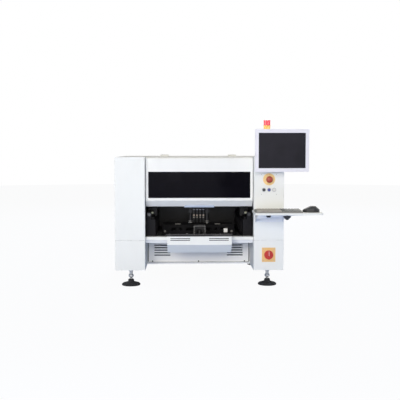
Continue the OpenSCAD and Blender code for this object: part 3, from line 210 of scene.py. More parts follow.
cast = {"worn": (42.0, 6.0), "span": (0.56, 0.74), "share": 0.5, "tone": 1.7, "patch": (150.0, 2.0),
        "rough": 0.12, "mean": 0.06, "grain": (1100.0, 2.0), "height": 0.0004}


def castFinish(name, colour, roughness, metallic=0.0, grain=0.3, gloss=0.5):
    # blasted casting or anodised block: tight grain and worn brighter spots
    made = Finish(name, colour, roughness, metallic, Specular_IOR_Level=gloss)
    worn = made.ramp(made.noise(*cast["worn"]), *cast["span"])
    made.feed("Base Color", made.blend(worn * cast["share"], colour, shade(colour, cast["tone"])))
    made.feed("Roughness", roughness + made.noise(*cast["patch"]) * cast["rough"] - cast["mean"])
    made.relief(made.noise(*cast["grain"]), grain, cast["height"])
    return made.material


moulded = {"haze": (30.0, 5.0), "span": (0.45, 0.75), "share": 0.3, "tone": 0.9, "rough": 0.08,
           "grain": (1500.0, 1.0), "height": 0.0002, "coatRough": 0.12}


def plasticFinish(name, colour, roughness, grain=0.22, coat=0.0):
    # moulded plastic: spark-eroded grain, a little dust in the tone
    made = Finish(name, colour, roughness, Coat_Weight=coat, Coat_Roughness=moulded["coatRough"])
    haze = made.ramp(made.noise(*moulded["haze"]), *moulded["span"])
    made.feed("Base Color", made.blend(haze * moulded["share"], colour, shade(colour, moulded["tone"])))
    made.feed("Roughness", roughness + haze * moulded["rough"])
    made.relief(made.noise(*moulded["grain"]), grain, moulded["height"])
    return made.material


rubber = {"rough": 0.82, "gloss": 0.3, "bloom": (24.0, 5.0), "span": (0.42, 0.7), "share": 0.55, "tone": 2.1,
          "grain": (420.0, 3.0), "depth": 0.35, "height": 0.0005}


def rubberFinish(name, colour):
    made = Finish(name, colour, rubber["rough"], Specular_IOR_Level=rubber["gloss"])
    bloom = made.ramp(made.noise(*rubber["bloom"]), *rubber["span"])
    made.feed("Base Color", made.blend(bloom * rubber["share"], colour, shade(colour, rubber["tone"])))
    made.relief(made.noise(*rubber["grain"]), rubber["depth"], rubber["height"])
    return made.material


rolled = {"wave": 0.314, "root": 0.55, "rough": (0.2, 0.2), "patch": (90.0, 3.0), "depth": 0.9, "height": 0.0018,
          "nut": tint(30, 30, 32)}


def screwFinish(name, colour, along, pitch, nutFrom=-9.0):
    # rolled thread as a fine wave along the spindle, its roots darkened as painted shade, with a black nut in
    # front of nutFrom
    made = Finish(name, colour, rolled["rough"][0], 1.0)
    wave = made.node("ShaderNodeTexWave", {"wave_type": "BANDS", "bands_direction": along.upper()},
                     {"Vector": made.place, "Scale": rolled["wave"] / pitch, "Distortion": 0.0}, 1)
    threaded = made.node("ShaderNodeSeparateXYZ", {}, {0: made.place}, "xyz".index(along)) > nutFrom
    # painted shade: the thread roots are darkened to the root share of the steel's colour
    steel = made.blend(wave, shade(colour, rolled["root"]), colour)
    made.feed("Base Color", made.blend(threaded, rolled["nut"], steel))
    made.feed("Metallic", threaded)
    made.feed("Roughness", rolled["rough"][0] + made.noise(*rolled["patch"]) * rolled["rough"][1])
    made.relief(wave * threaded, rolled["depth"], rolled["height"])
    return made.material


pane = {"ior": 1.49, "gloss": 0.02, "wipe": (5.0, 6.0, (0.5, 1, 2.2)), "span": (0.5, 0.8), "rough": (0.05, 0.11),
        "share": 0.35, "tone": 1.5, "alpha": (0.93, 0.05)}


def windowFinish(name, colour):
    # smoked acrylic: nearly black, with soft wipe marks in its gloss
    made = Finish(name, colour, pane["rough"][0], IOR=pane["ior"], Specular_IOR_Level=pane["gloss"])
    wipe = made.ramp(made.noise(*pane["wipe"]), *pane["span"])
    made.feed("Roughness", pane["rough"][0] + wipe * pane["rough"][1])
    made.feed("Base Color", made.blend(wipe * pane["share"], colour, shade(colour, pane["tone"])))
    made.feed("Alpha", pane["alpha"][0] + wipe * pane["alpha"][1])
    return made.material


screen = {"ior": 1.5, "gloss": 0.05, "haze": (7.0, 4.0), "span": (0.35, 0.75), "tone": 1.35, "rough": (0.3, 0.1),
          "grain": (2600.0, 0.0), "depth": 0.08, "height": 0.0001}


def screenFinish(name, colour):
    # matt glass of the screen and of the camera lenses
    made = Finish(name, colour, screen["rough"][0], IOR=screen["ior"], Specular_IOR_Level=screen["gloss"])
    haze = made.ramp(made.noise(*screen["haze"]), *screen["span"])
    made.feed("Base Color", made.blend(haze, colour, shade(colour, screen["tone"])))
    made.feed("Roughness", screen["rough"][0] + haze * screen["rough"][1])
    made.relief(made.noise(*screen["grain"]), screen["depth"], screen["height"])
    return made.material


lens = {"rough": 0.22, "coat": 0.5, "coatRough": 0.08, "glow": 0.18, "cloud": (55.0, 3.0), "span": (0.3, 0.7),
        "tones": (0.8, 1.12), "grain": (260.0, 2.0), "depth": 0.12, "height": 0.0005}


def lensFinish(name, colour):
    # ribbed coloured lens of the signal tower, lit through from behind
    made = Finish(name, colour, lens["rough"], Coat_Weight=lens["coat"], Coat_Roughness=lens["coatRough"],
                  Emission_Color=colour, Emission_Strength=lens["glow"])
    cloud = made.ramp(made.noise(*lens["cloud"]), *lens["span"])
    made.feed("Base Color", made.blend(cloud, *(shade(colour, tone) for tone in lens["tones"])))
    made.relief(made.noise(*lens["grain"]), lens["depth"], lens["height"])
    return made.material


band = {"grime": (60.0, 4.0), "span": (0.4, 0.75), "share": 0.22, "soot": (0.02, 0.02, 0.02, 1), "rough": 0.12,
        "grain": (900.0, 2.0), "depth": 0.12, "height": 0.0003}


def bandedFinish(name, roughness, bands, axis="z"):
    # one node whose heights have their own finish: (from this height up, colour, metal share)
    (_, colour, metal), *others = bands
    made = Finish(name, colour, roughness)
    split = made.node("ShaderNodeSeparateXYZ", {}, {0: made.place}, "xyz".index(axis))
    for start, above, metalAbove in others:
        over = split > start
        colour = made.blend(over, colour, above)
        metal = over * metalAbove + metal if metalAbove else metal
    grime = made.ramp(made.noise(*band["grime"]), *band["span"])
    made.feed("Base Color", made.blend(grime * band["share"], colour, band["soot"]))
    made.feed("Metallic", metal)
    made.feed("Roughness", roughness + grime * band["rough"])
    made.relief(made.noise(*band["grain"]), band["depth"], band["height"])
    return made.material


# bounds of the lined faces, of the hood's painted-shade lip and of the dock box's darker top
coatAndShadeBounds = {"middle": -0.1075, "half": 0.3625, "front": -0.330, "rear": 0.6181, "lip": 0.5303, "lipTop": 0.5389,
          "lipFace": -0.3028, "skin": 0.0004, "edge": 0.0006}


def towardBay(x, y, z):
    # faces of the column covers that look into the working space
    return (abs(x - coatAndShadeBounds["middle"]) < coatAndShadeBounds["half"]) * (y > coatAndShadeBounds["front"])


def insideRear(x, y, z):
    return y < coatAndShadeBounds["rear"]


def shadedGripBand(x, y, z):
    # painted shade: the grip lip under the hood's bevel, and the shell below its lower edge, are given a darker
    # bluish tone for the floor's bounce light
    lip = (z < coatAndShadeBounds["lipTop"]) * (y < coatAndShadeBounds["lipFace"])
    return lip.maths("MAXIMUM", z < coatAndShadeBounds["lip"], lip)


def darkDockTop(x, y, z):
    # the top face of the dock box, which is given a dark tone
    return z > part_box("dock_box")[1].z - coatAndShadeBounds["skin"]


def behindEdge(x, y, z):
    # the plate's milled top and sides, behind its painted front edge
    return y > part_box("machine_bed")[0].y + coatAndShadeBounds["edge"]


finishes = {
    "cover_paint": paintFinish("coverPaint", tint(238, 240, 237), 0.42, 0.10),
    "panel_paint": paintFinish("panelPaint", tint(240, 242, 245), 0.46),
    "frame_paint": paintFinish("framePaint", tint(92, 95, 99), 0.55),
    "bed_metal": brushedFinish("bedMetal", tint(20, 21, 24), 0.55, "x", 0.2),
    "black_cast": castFinish("blackCast", tint(17, 17, 21), 0.6, 0.0, 0.3, 0.15),
    "black_metal": castFinish("blackMetal", tint(16, 16, 19), 0.46, 0.0, 0.2, 0.3),
    "steel": brushedFinish("steel", tint(186, 186, 184), 0.38, "z", 0.75),
    "bright_steel": brushedFinish("brightSteel", tint(214, 216, 218), 0.22, "z"),
    "rail_metal": brushedFinish("railMetal", tint(128, 131, 136), 0.38, "x"),
    "brass": brushedFinish("brass", tint(196, 152, 84), 0.28, "z"),
    "foot_rubber": rubberFinish("footRubber", tint(38, 39, 41)),
    "black_plastic": plasticFinish("blackPlastic", tint(34, 35, 37), 0.45),
    "yellow_plastic": plasticFinish("yellowPlastic", tint(238, 196, 128), 0.4, 0.15, 0.2),
    "red_plastic": plasticFinish("redPlastic", tint(196, 46, 34), 0.36, 0.1, 0.3),
    "blue_plastic": plasticFinish("bluePlastic", tint(58, 70, 142), 0.34, 0.1, 0.3),
    "white_plastic": plasticFinish("whitePlastic", tint(226, 226, 220), 0.38, 0.1, 0.2),
    "monitor_plastic": plasticFinish("monitorPlastic", tint(232, 231, 238), 0.44),
    "screen_glass": screenFinish("screenGlass", tint(40, 39, 44)),
    "window_tint": windowFinish("windowTint", tint(14, 13, 19)),
    "key_plastic": plasticFinish("keyPlastic", tint(84, 88, 87), 0.5),
    "case_plastic": plasticFinish("casePlastic", tint(133, 132, 128), 0.48),
    "lens_plastic": lensFinish("lensPlastic", tint(206, 66, 58)),
    "unit_case": castFinish("unitCase", tint(112, 117, 123), 0.45, 0.6, 0.15),
    "stopRed": plasticFinish("stopRed", tint(166, 66, 46), 0.42, 0.12, 0.15),
    "satinAlloy": castFinish("satinAlloy", tint(128, 127, 124), 0.45, 0.2, 0.12),
    "sensor": castFinish("sensor", tint(142, 145, 126), 0.42, 0.3, 0.12),
    "keyTwoTone": bandedFinish("keyTwoTone", 0.5, [(0, tint(176, 172, 165), 0),
                                                    (0.405, tint(84, 88, 87), 0)], "x"),
    "lensGlass": screenFinish("lensGlass", tint(14, 15, 22)),
}
slotOf = {part["node"]: part["material_slot"] for part in frame["record"]["subparts"]}
special = {
    # the hood's lower lip takes painted shade: a darker, bluish white
    "hood_shell": liningAndShadeFinish("hoodPaintShadedLip", tint(242, 243, 240), tint(174, 186, 204), 0.42, shadedGripBand),
    "hood_hinge_bases": finishes["cover_paint"],
    "dock_box": liningAndShadeFinish("dockPaint", tint(238, 240, 237), tint(46, 47, 51), 0.42, darkDockTop),
    "panel_bezels": bandedFinish("bezelBands", 0.4, [(0, tint(196, 198, 202), 0),
                                                     (0.668, tint(250, 214, 146), 0)]),
    "reject_box": bandedFinish("binBands", 0.5, [(0, tint(30, 31, 33), 0), (0.3412, tint(254, 254, 253), 0)]),
    "estop_cap": finishes["stopRed"],
    "machine_bed": liningAndShadeFinish("bedPaint", tint(226, 230, 236), tint(19, 20, 23), 0.5, behindEdge),
    "rear_cover": liningAndShadeFinish("rearLining", tint(232, 234, 232), tint(13, 13, 16), 0.45, insideRear),
    "x_screw": screwFinish("crossThread", tint(150, 152, 156), "x", 0.004),
    "front_board_rail": castFinish("boardRail", tint(12, 12, 16), 0.55, 0.0, 0.1, 0.1),
    "dock_rail": bandedFinish("dockRail", 0.5, [(0, tint(44, 45, 49), 0),
                                                (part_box("dock_rail")[1].z - 0.0015, tint(92, 92, 98), 0)]),
}
special["rear_board_rail"] = special["front_board_rail"]
# painted light: the recessed lower panel, in the shade of the sill and dock, is given a brighter white than the
# covers
special["lower_front_panel"] = paintFinish("lowerPaintLit", tint(252, 252, 250), 0.45)
for side in ("left", "right"):
    special["y_screw_" + side] = screwFinish("sideThread_" + side, tint(110, 112, 116), "y", 0.005, -0.2802)
    special[side + "_upper_cover"] = liningAndShadeFinish("lining_" + side, tint(238, 240, 237),
                                                  tint(15, 15, 19), 0.42, towardBay)
for index in range(1, 5):
    special["nozzle_%d" % index] = bandedFinish("nozzleBands%d" % index, 0.34, [
        (0, tint(20, 20, 22), 0), (0.4385, tint(188, 182, 172), 0), (0.4430, tint(26, 24, 24), 0),
        (0.4515, tint(206, 188, 172), 0)])
    special["spindle_%d" % index] = bandedFinish("spindleBands%d" % index, 0.3, [
        (0, tint(28, 28, 31), 0), (0.4920, tint(212, 214, 218), 0), (0.4970, tint(120, 122, 126), 0.6)])
for node, cadObject in frame["nodes"].items():
    cadObject.data.materials.clear()
    cadObject.data.materials.append(special.get(node) or finishes[slotOf[node]])
print("finishes made:", len(finishes) + len(special))


# shapes


def boxIn(bm, low, high, soft=0.0, steps=2):
    # a block between two corners with softened edges; gives its vertices
    low, high = Vector(low), Vector(high)
    size = high - low
    made = bmesh.ops.create_cube(bm, size=1.0)["verts"]
    bmesh.ops.scale(bm, vec=size, verts=made)
    bmesh.ops.translate(bm, vec=(low + high) / 2, verts=made)
    if soft:
        edges = list({edge for vert in made for edge in vert.link_edges})
        done = bmesh.ops.bevel(bm, geom=edges, offset=soft, segments=steps, profile=0.5,
                               affect="EDGES", material=-1)
        made = list({vert for face in done["faces"] for vert in face.verts})
    return made


def turnTo(normal):
    return Vector((0, 0, 1)).rotation_difference(Vector(normal)).to_matrix().to_4x4()


def lathe(bm, profile, centre, axis=(0, 0, 1), steps=40):
    # turns radius and height pairs round an axis; a closed outline begins and ends at radius 0
    verts = [bm.verts.new((radius, 0, height)) for radius, height in profile]
    edges = [bm.edges.new(pair) for pair in zip(verts, verts[1:])]
    before = set(bm.verts) - set(verts)
    bmesh.ops.spin(bm, geom=verts + edges, cent=(0, 0, 0), axis=(0, 0, 1), dvec=(0, 0, 0),
                   angle=2 * math.pi, steps=steps, use_merge=True, use_duplicate=False)
    made = [vert for vert in bm.verts if vert not in before]
    bmesh.ops.remove_doubles(bm, verts=made, dist=1e-6)
    made = [vert for vert in bm.verts if vert not in before]
    bmesh.ops.transform(bm, matrix=Matrix.Translation(centre) @ turnTo(axis), verts=made)
    return made


def stamp(bm, master, matrix):
    # copies a finished small shape to a place
    start = len(bm.verts)
    bm.from_mesh(master)
    bm.verts.ensure_lookup_table()
    bmesh.ops.transform(bm, matrix=matrix, verts=bm.verts[start:])


def ringOf(bm, count, radius, height):
    made = bmesh.ops.create_circle(bm, cap_ends=False, segments=count, radius=radius)["verts"]
    bmesh.ops.translate(bm, vec=(0, 0, height), verts=made)
    return list({edge for vert in made for edge in vert.link_edges})


# rings of a screw head: corners, share of the radius and share of the height
screwRings = ((12, 0.97, 0), (12, 1, 0.35), (12, 0.82, 1), (6, 0.46, 1), (6, 0.42, 0.4))


def screwMaster(name, radius, height):
    # pan head with a hexagon recess, standing on z = 0
    bm = bmesh.new()
    rings = [ringOf(bm, count, radius * wide, height * tall) for count, wide, tall in screwRings]
    for first, second in zip(rings, rings[1:]):
        bmesh.ops.bridge_loops(bm, edges=first + second)
    bmesh.ops.contextual_create(bm, geom=rings[0])
    bmesh.ops.contextual_create(bm, geom=rings[-1])
    bmesh.ops.recalc_face_normals(bm, faces=bm.faces[:])
    made = bpy.data.meshes.new(name)
    bm.to_mesh(made)
    bm.free()
    return made


def piece(name, bm, body, slot, finish=None, flat=False, limit=34):
    # closes a bmesh into an object that rides on a body
    bmesh.ops.remove_doubles(bm, verts=bm.verts[:], dist=2e-6)
    bmesh.ops.recalc_face_normals(bm, faces=bm.faces[:])
    mesh = bpy.data.meshes.new(name)
    bm.to_mesh(mesh)
    bm.free()
    made = bpy.data.objects.new(name, mesh)
    bpy.context.scene.collection.objects.link(made)
    mesh.materials.append(finish or finishes[slot])
    if not flat:
        for face in mesh.polygons:
            face.use_smooth = True
        mesh.set_sharp_from_angle(angle=math.radians(limit))
    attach(made, body)
    return made


def middle(node):
    low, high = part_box(node)
    return (low + high) / 2


def spread(low, high, margin, count):
    # evenly spaced places that keep a margin at both ends
    return [low + margin + (high - low - 2 * margin) * step / (count - 1) for step in range(count)]


def at(centre, normal, twist=0.0):
    return Matrix.Translation(centre) @ turnTo(normal) @ Matrix.Rotation(twist, 4, "Z")


front, back, right, left, up, down = (0, -1, 0), (0, 1, 0), (1, 0, 0), (-1, 0, 0), (0, 0, 1), (0, 0, -1)


def screws(name, body, slot, size, places, finish=None):
    # one piece of many screws; each place is a centre and the way that its head faces
    radius, height = size
    master = screwMaster(name + "Master", radius * mm, height * mm)
    bm = bmesh.new()
    for index, (centre, normal) in enumerate(places):
        stamp(bm, master, at(centre, normal, index * 0.7))
    bpy.data.meshes.remove(master)
    return piece(name, bm, body, slot, finish, limit=30)


# covers and housing

houseLow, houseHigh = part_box("left_lower_cover")[0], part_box("right_upper_cover")[1]
houseMid = (houseLow + houseHigh) / 2
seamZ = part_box("left_lower_cover")[1].z
panelLow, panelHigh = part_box("lower_front_panel")
panelFace = panelLow.y + 0.009

coverScrew = {"size": (4.2, 0.5), "edge": 0.014, "underSeam": 0.012, "sideRows": (0.05, 0.34, 0.66, 0.95),
              "backColumns": (0.375, 0.46, 0.545), "rearCount": 7, "rearEdge": 0.012, "rearSide": 0.010,
              "rearHeights": (0.26, 0.42, 0.58, 0.72), "topCount": 5, "topEnd": 0.05, "topBack": 0.014,
              "topFront": 0.024}


def coverScrewPlaces():
    rearLow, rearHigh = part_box("rear_cover")
    topLow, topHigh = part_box("top_cover")
    edge, rearEdge, rearSide = coverScrew["edge"], coverScrew["rearEdge"], coverScrew["rearSide"]
    heights = (houseLow.z + edge, seamZ - coverScrew["underSeam"], seamZ + edge, houseHigh.z - edge)
    places = []
    for share in coverScrew["sideRows"]:
        y = houseLow.y + (houseHigh.y - houseLow.y) * share
        for z in heights:
            places += [((houseLow.x, y, z), left), ((houseHigh.x, y, z), right)]
    places += [((houseMid.x + side * x, houseHigh.y, z), back)
               for side in (-1, 1) for x in coverScrew["backColumns"] for z in heights]
    for x in spread(rearLow.x, rearHigh.x, edge, coverScrew["rearCount"]):
        places += [((x, houseHigh.y, z), back) for z in (rearLow.z + rearEdge, rearHigh.z - rearEdge)]
    places += [((x, houseHigh.y, z), back) for z in coverScrew["rearHeights"]
               for x in (rearLow.x + rearSide, rearHigh.x - rearSide)]
    for x in spread(topLow.x, topHigh.x, coverScrew["topEnd"], coverScrew["topCount"]):
        places += [((x, y, topHigh.z), up)
                   for y in (topHigh.y - coverScrew["topBack"], topLow.y + coverScrew["topFront"])]
    return places


screws("coverScrews", "machine", "steel", coverScrew["size"], coverScrewPlaces())

panelScrew = {"size": (4.6, 1.8), "spread": 0.324, "height": 0.1265}
screws("panelScrews", "machine", "black_metal", panelScrew["size"],
       [((houseMid.x + side * panelScrew["spread"], panelFace, panelScrew["height"]), front)
        for side in (-1, 0, 1)])

sideShadeStrip = {"across": (0.3524, 0.3574), "proud": 0.0045, "bottom": 0.018, "top": 0.004, "soft": 0.0006}
foldShadeStrip = {"end": 0.006, "y": (-0.0009, 0.0006), "z": (0.0132, 0.0162), "soft": 0.0003}


def panelShadeStrips():
    # painted shade: dark strips in the gaps where the louvred panel meets the columns, and one along the shadow
    # of its lower fold
    bm = bmesh.new()
    for side in (-1, 1):
        x0, x1 = sorted(houseMid.x + side * across for across in sideShadeStrip["across"])
        boxIn(bm, (x0, panelFace - sideShadeStrip["proud"], panelLow.z + sideShadeStrip["bottom"]),
              (x1, panelFace, panelHigh.z - sideShadeStrip["top"]), sideShadeStrip["soft"])
    low, high = ((x, panelLow.y + y, panelLow.z + z) for x, y, z in zip(
        (panelLow.x + foldShadeStrip["end"], panelHigh.x - foldShadeStrip["end"]), foldShadeStrip["y"], foldShadeStrip["z"]))
    boxIn(bm, low, high, foldShadeStrip["soft"], 1)
    return piece("panelShadeStrips", bm, "machine", "foot_rubber")


panelShadeStrips()

# dock: dark strips in the connector slots, painted shade for their dark insides, and the screws on top

dockLow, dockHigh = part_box("dock_box")
slotShade = {"centres": (-0.1278, 0.1278), "half": 0.065, "below": (0.028, 0.017), "tall": 0.005,
            "y": (0.0007, 0.0016)}


def slotShadeStrips():
    # painted shade: thin dark strips that stand for the shade inside each slot
    bm = bmesh.new()
    y0, y1 = (dockLow.y + y for y in slotShade["y"])
    for centre in slotShade["centres"]:
        x = houseMid.x + centre
        for below in slotShade["below"]:
            z = dockHigh.z - below
            boxIn(bm, (x - slotShade["half"], y0, z), (x + slotShade["half"], y1, z + slotShade["tall"]))
    return piece("slotShadeStrips", bm, "machine", "foot_rubber", flat=True)


slotShadeStrips()
railLow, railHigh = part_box("dock_rail")
dockScrew = {"size": (3.4, 1.4), "side": 0.014, "front": 0.012, "back": 0.014}
railScrew = {"size": (3.6, 1.5), "end": 0.03, "count": 8}
screws("dockScrews", "machine", "bright_steel", dockScrew["size"],
       [((x, y, dockHigh.z), up) for x in (dockLow.x + dockScrew["side"], dockHigh.x - dockScrew["side"])
        for y in (dockLow.y + dockScrew["front"], dockHigh.y - dockScrew["back"])])
screws("railScrews", "machine", "bright_steel", railScrew["size"],
       [((x, (railLow.y + railHigh.y) / 2, railHigh.z), up)
        for x in spread(railLow.x, railHigh.x, railScrew["end"], railScrew["count"])])
print("housing fasteners made")

# hood

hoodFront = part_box("hood_shell")[0].y
windowLow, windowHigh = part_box("hood_window")
gasket = {"width": 0.0035, "proud": 0.000135, "thick": 0.0017, "inset": 0.0075, "soft": 0.0004}


def windowGasket():
    # rubber bead between the smoked pane and the folded shell
    bm = bmesh.new()
    inset, wide = gasket["inset"], gasket["width"]
    x0, x1 = windowLow.x + inset, windowHigh.x - inset
    y0 = hoodFront - gasket["proud"]
    y1 = y0 + gasket["thick"]
    z0, z1 = windowLow.z + inset, windowHigh.z - inset
    for low, high in (((x0, y0, z0), (x1, y1, z0 + wide)), ((x0, y0, z1 - wide), (x1, y1, z1)),
                      ((x0, y0, z0), (x0 + wide, y1, z1)), ((x1 - wide, y0, z0), (x1, y1, z1))):
        boxIn(bm, low, high, gasket["soft"])
    return piece("windowGasket", bm, "hood", "foot_rubber")


windowGasket()
hingeScrew = {"size": (3.2, 1.3), "fromEnd": 0.030, "off": 0.018, "y": 0.048, "rise": 0.0022}
baseLow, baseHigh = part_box("hood_hinge_bases")
hingeOff = (baseHigh.x - baseLow.x) / 2 - hingeScrew["fromEnd"]
screws("hingeScrews", "machine", "steel", hingeScrew["size"],
       [((houseMid.x + side * hingeOff + turn * hingeScrew["off"], hingeScrew["y"],
          houseHigh.z + hingeScrew["rise"]), up) for side in (-1, 1) for turn in (-1, 1)])
print("hood dressed")

# operator panel

capLow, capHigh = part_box("estop_cap")
stopRib = {"count": 40, "long": 0.0035, "wide": 0.0012, "deep": 0.0012, "inset": 0.0004, "from": 0.0148,
           "soft": 0.0003}


def stopRibs():
    # small grip ribs round the skirt of the mushroom head
    bm = bmesh.new()
    mid = middle("estop_cap")
    radius = (capHigh.x - capLow.x) / 2 - stopRib["inset"]
    for index in range(stopRib["count"]):
        made = boxIn(bm, (-stopRib["wide"] / 2, 0, radius - stopRib["deep"]),
                     (stopRib["wide"] / 2, stopRib["long"], radius), stopRib["soft"], 1)
        spin = Matrix.Rotation(2 * math.pi * index / stopRib["count"], 3, "Y")
        bmesh.ops.rotate(bm, verts=made, cent=(0, 0, 0), matrix=spin)
        bmesh.ops.translate(bm, verts=made, vec=(mid.x, capLow.y + stopRib["from"], mid.z))
    return piece("stopRibs", bm, "estop_cap", "red_plastic")


stopRibs()

# share of the button's radius, and height in millimetres
dish = {"sunk": 0.0006,
        "profile": ((0, 0), (0.97, 0), (0.97, 0.4), (0.9, 0.6), (0.8, 0.45), (0.4, 0.2), (0, 0.1))}


def buttonDish(node, slot):
    # dished cap over the plain face of a push button
    low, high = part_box(node)
    radius = (high.x - low.x) / 2
    bm = bmesh.new()
    lathe(bm, [(radius * share, height * mm) for share, height in dish["profile"]],
          ((low.x + high.x) / 2, low.y + dish["sunk"], (low.z + high.z) / 2), front, 36)
    return piece(node + "Dish", bm, node, slot)


for colour in ("black", "blue", "white"):
    buttonDish(colour + "_button", colour + "_plastic")

plateLow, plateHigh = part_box("isolator_plate")
plateScrew = {"size": (3.2, 1.4), "inset": 0.009}
screws("isolatorScrews", "machine", "steel", plateScrew["size"],
       [((x, plateLow.y, z), front)
        for x in (plateLow.x + plateScrew["inset"], plateHigh.x - plateScrew["inset"])
        for z in (plateLow.z + plateScrew["inset"], plateHigh.z - plateScrew["inset"])])

pointer = {"x": (-0.0016, 0.0016), "y": (-0.00005, 0.001), "z": (-0.004, 0.0255), "soft": 0.0002}


def knobMark():
    # white pointer line along the grip of the main switch
    bm = bmesh.new()
    mid, face = middle("isolator_knob"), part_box("isolator_knob")[0].y
    low, high = ((mid.x + x, face + y, mid.z + z) for x, y, z in zip(pointer["x"], pointer["y"], pointer["z"]))
    boxIn(bm, low, high, pointer["soft"], 1)
    return piece("knobMark", bm, "isolator_knob", "white_plastic")


knobMark()
print("operator panel dressed")

# monitor

shellLow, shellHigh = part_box("monitor_shell")
screenLow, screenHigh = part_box("monitor_screen")
lip = {"wide": 0.0032, "grow": 0.0009, "front": 0.0006, "back": 0.0004, "thick": 0.0004}


def screenLip():
    # dark inner lip where the panel meets the frame, sloping down to the glass
    bm = bmesh.new()
    y0, y1 = shellLow.y + lip["front"], screenLow.y + lip["back"]
    grow, wide, thick = lip["grow"], lip["wide"] + lip["grow"], lip["thick"]
    x0, x1 = screenLow.x - grow, screenHigh.x + grow
    z0, z1 = screenLow.z - grow, screenHigh.z + grow
    rims = []
    for inset, y in ((0, y0), (wide, y1), (wide, y1 + thick), (0, y1 + thick)):
        ring = [bm.verts.new((x, y, z)) for x, z in ((x0 + inset, z0 + inset), (x1 - inset, z0 + inset),
                                                     (x1 - inset, z1 - inset), (x0 + inset, z1 - inset))]
        rims.append([bm.edges.new(pair) for pair in zip(ring, ring[1:] + ring[:1])])
    for first, second in zip(rims, rims[1:] + rims[:1]):
        bmesh.ops.bridge_loops(bm, edges=first + second)
    return piece("screenLip", bm, "monitor", "black_plastic", flat=True)


screenLip()

monitorKey = {"count": 5, "pitch": 0.016, "fromRight": 0.030, "rise": 0.010, "half": (0.005, 0.0016),
              "y": (0.0001, 0.002), "soft": 0.0005}


def monitorKeys():
    bm = bmesh.new()
    wide, tall = monitorKey["half"]
    y0, y1 = (shellLow.y + y for y in monitorKey["y"])
    z = shellLow.z + monitorKey["rise"]
    for index in range(monitorKey["count"]):
        x = shellHigh.x - monitorKey["fromRight"] - index * monitorKey["pitch"]
        boxIn(bm, (x - wide, y0, z - tall), (x + wide, y1, z + tall), monitorKey["soft"])
    return piece("monitorKeys", bm, "monitor", "monitor_plastic", finishes["unit_case"])


monitorKeys()
print("monitor dressed")

# signal tower

tower = {"colours": ((104, 190, 120), (252, 196, 92), (250, 62, 84)), "flutes": 60, "groove": 0.0006,
         "foot": 0.003, "neck": 0.0016, "neckFrom": 0.0042, "neckTo": 0.008, "rimFrom": 0.0068, "gap": 0.0004,
         "crown": ((0, 0.005), (0.003, 0.001), (0.008, 0)), "fluteFrom": 0.0035, "fluteTo": 0.0074,
         "skin": 0.9}


def towerLenses():
    # three fluted lenses with smooth rims, each in its own colour
    lensLow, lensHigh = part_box("tower_lenses")
    mid = middle("tower_lenses")
    radius = (lensHigh.x - lensLow.x) / 2
    tall = (lensHigh.z - lensLow.z) / 3
    neck = radius - tower["neck"]
    lower = [(0, 0), (radius, 0), (radius, tower["foot"]), (neck, tower["neckFrom"]),
             (neck, tall - tower["neckTo"]), (radius, tall - tower["rimFrom"])]
    plain = [(radius, tall - tower["gap"]), (0, tall - tower["gap"])]
    crown = [(radius - inwards, tall - below) for inwards, below in tower["crown"]] + [(0, tall)]
    bm = bmesh.new()
    for index, top in enumerate((plain, plain, crown)):
        z0 = lensLow.z + index * tall
        before = len(bm.faces)
        made = lathe(bm, lower + top, (mid.x, mid.y, z0), up, tower["flutes"] * 2)
        for vert in made:
            out = vert.co.xy - mid.xy
            between = tower["fluteFrom"] < vert.co.z - z0 < tall - tower["fluteTo"]
            if between and out.length > radius * tower["skin"]:
                turn = math.atan2(out.y, out.x) / (2 * math.pi) * tower["flutes"]
                if abs(turn - round(turn)) < 0.25:
                    vert.co.xy -= out.normalized() * tower["groove"]
        bm.faces.ensure_lookup_table()
        for face in bm.faces[before:]:
            face.material_index = index
    colours = [lensFinish("towerLens%d" % index, tint(*colour))
               for index, colour in enumerate(tower["colours"])]
    made = piece("towerLenses", bm, "machine", "lens_plastic", colours[0], limit=24)
    for colour in colours[1:]:
        made.data.materials.append(colour)
    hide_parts("tower_lenses")
    return made


towerLenses()
poleMid, poleLow = middle("tower_pole"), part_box("tower_pole")[0]
poleScrew = {"size": (2.6, 1.4), "radius": 0.028, "rise": 0.0053, "angles": (0.785, 2.356, 3.927, 5.498)}
screws("towerScrews", "machine", "steel", poleScrew["size"],
       [((poleMid.x + poleScrew["radius"] * math.cos(angle), poleMid.y + poleScrew["radius"] * math.sin(angle),
          poleLow.z + poleScrew["rise"]), up) for angle in poleScrew["angles"]])
print("signal tower dressed")

# levelling feet

thread = {"pitch": 0.002, "root": 0.0081, "crest": 0.0088, "open": ((0.0422, 0.0518), (0.1082, 0.1098))}
foot = {"across": 0.46, "inset": 0.075}
feet = [(x, y, 0) for x in (houseMid.x - foot["across"], houseMid.x + foot["across"])
        for y in (houseLow.y + foot["inset"], houseHigh.y - foot["inset"])]


def footThreads():
    # rolled thread on the open lengths of each stud
    bm = bmesh.new()
    for low, high in thread["open"]:
        steps = int((high - low) / thread["pitch"] * 2)
        outline = [(thread["crest"] if step % 2 else thread["root"], low + (high - low) * step / steps)
                   for step in range(steps + 1)]
        for place in feet:
            lathe(bm, [(0, low)] + outline + [(0, high)], place, up, 24)
    return piece("footThreads", bm, "machine", "steel", limit=50)


footThreads()

# each ring is a radius and a height; its section is given in millimetres round that
tread = {"rings": ((0.0540, 0.0140), (0.0475, 0.0158), (0.0410, 0.0178), (0.0330, 0.0205)),
         "section": ((0, -1.2), (1.2, -0.4), (0.6, 0.8), (-1.2, 0.8))}


def padGrooves():
    # tread rings on the shoulder of each rubber pad
    bm = bmesh.new()
    for place in feet:
        for radius, z in tread["rings"]:
            outline = [(radius + across * mm, z + rise * mm) for across, rise in tread["section"]]
            lathe(bm, [(0, outline[0][1])] + outline + [(0, outline[-1][1])], place, up, 40)
    return piece("padGrooves", bm, "machine", "foot_rubber")


padGrooves()
print("feet dressed")

# gantry, head and bed

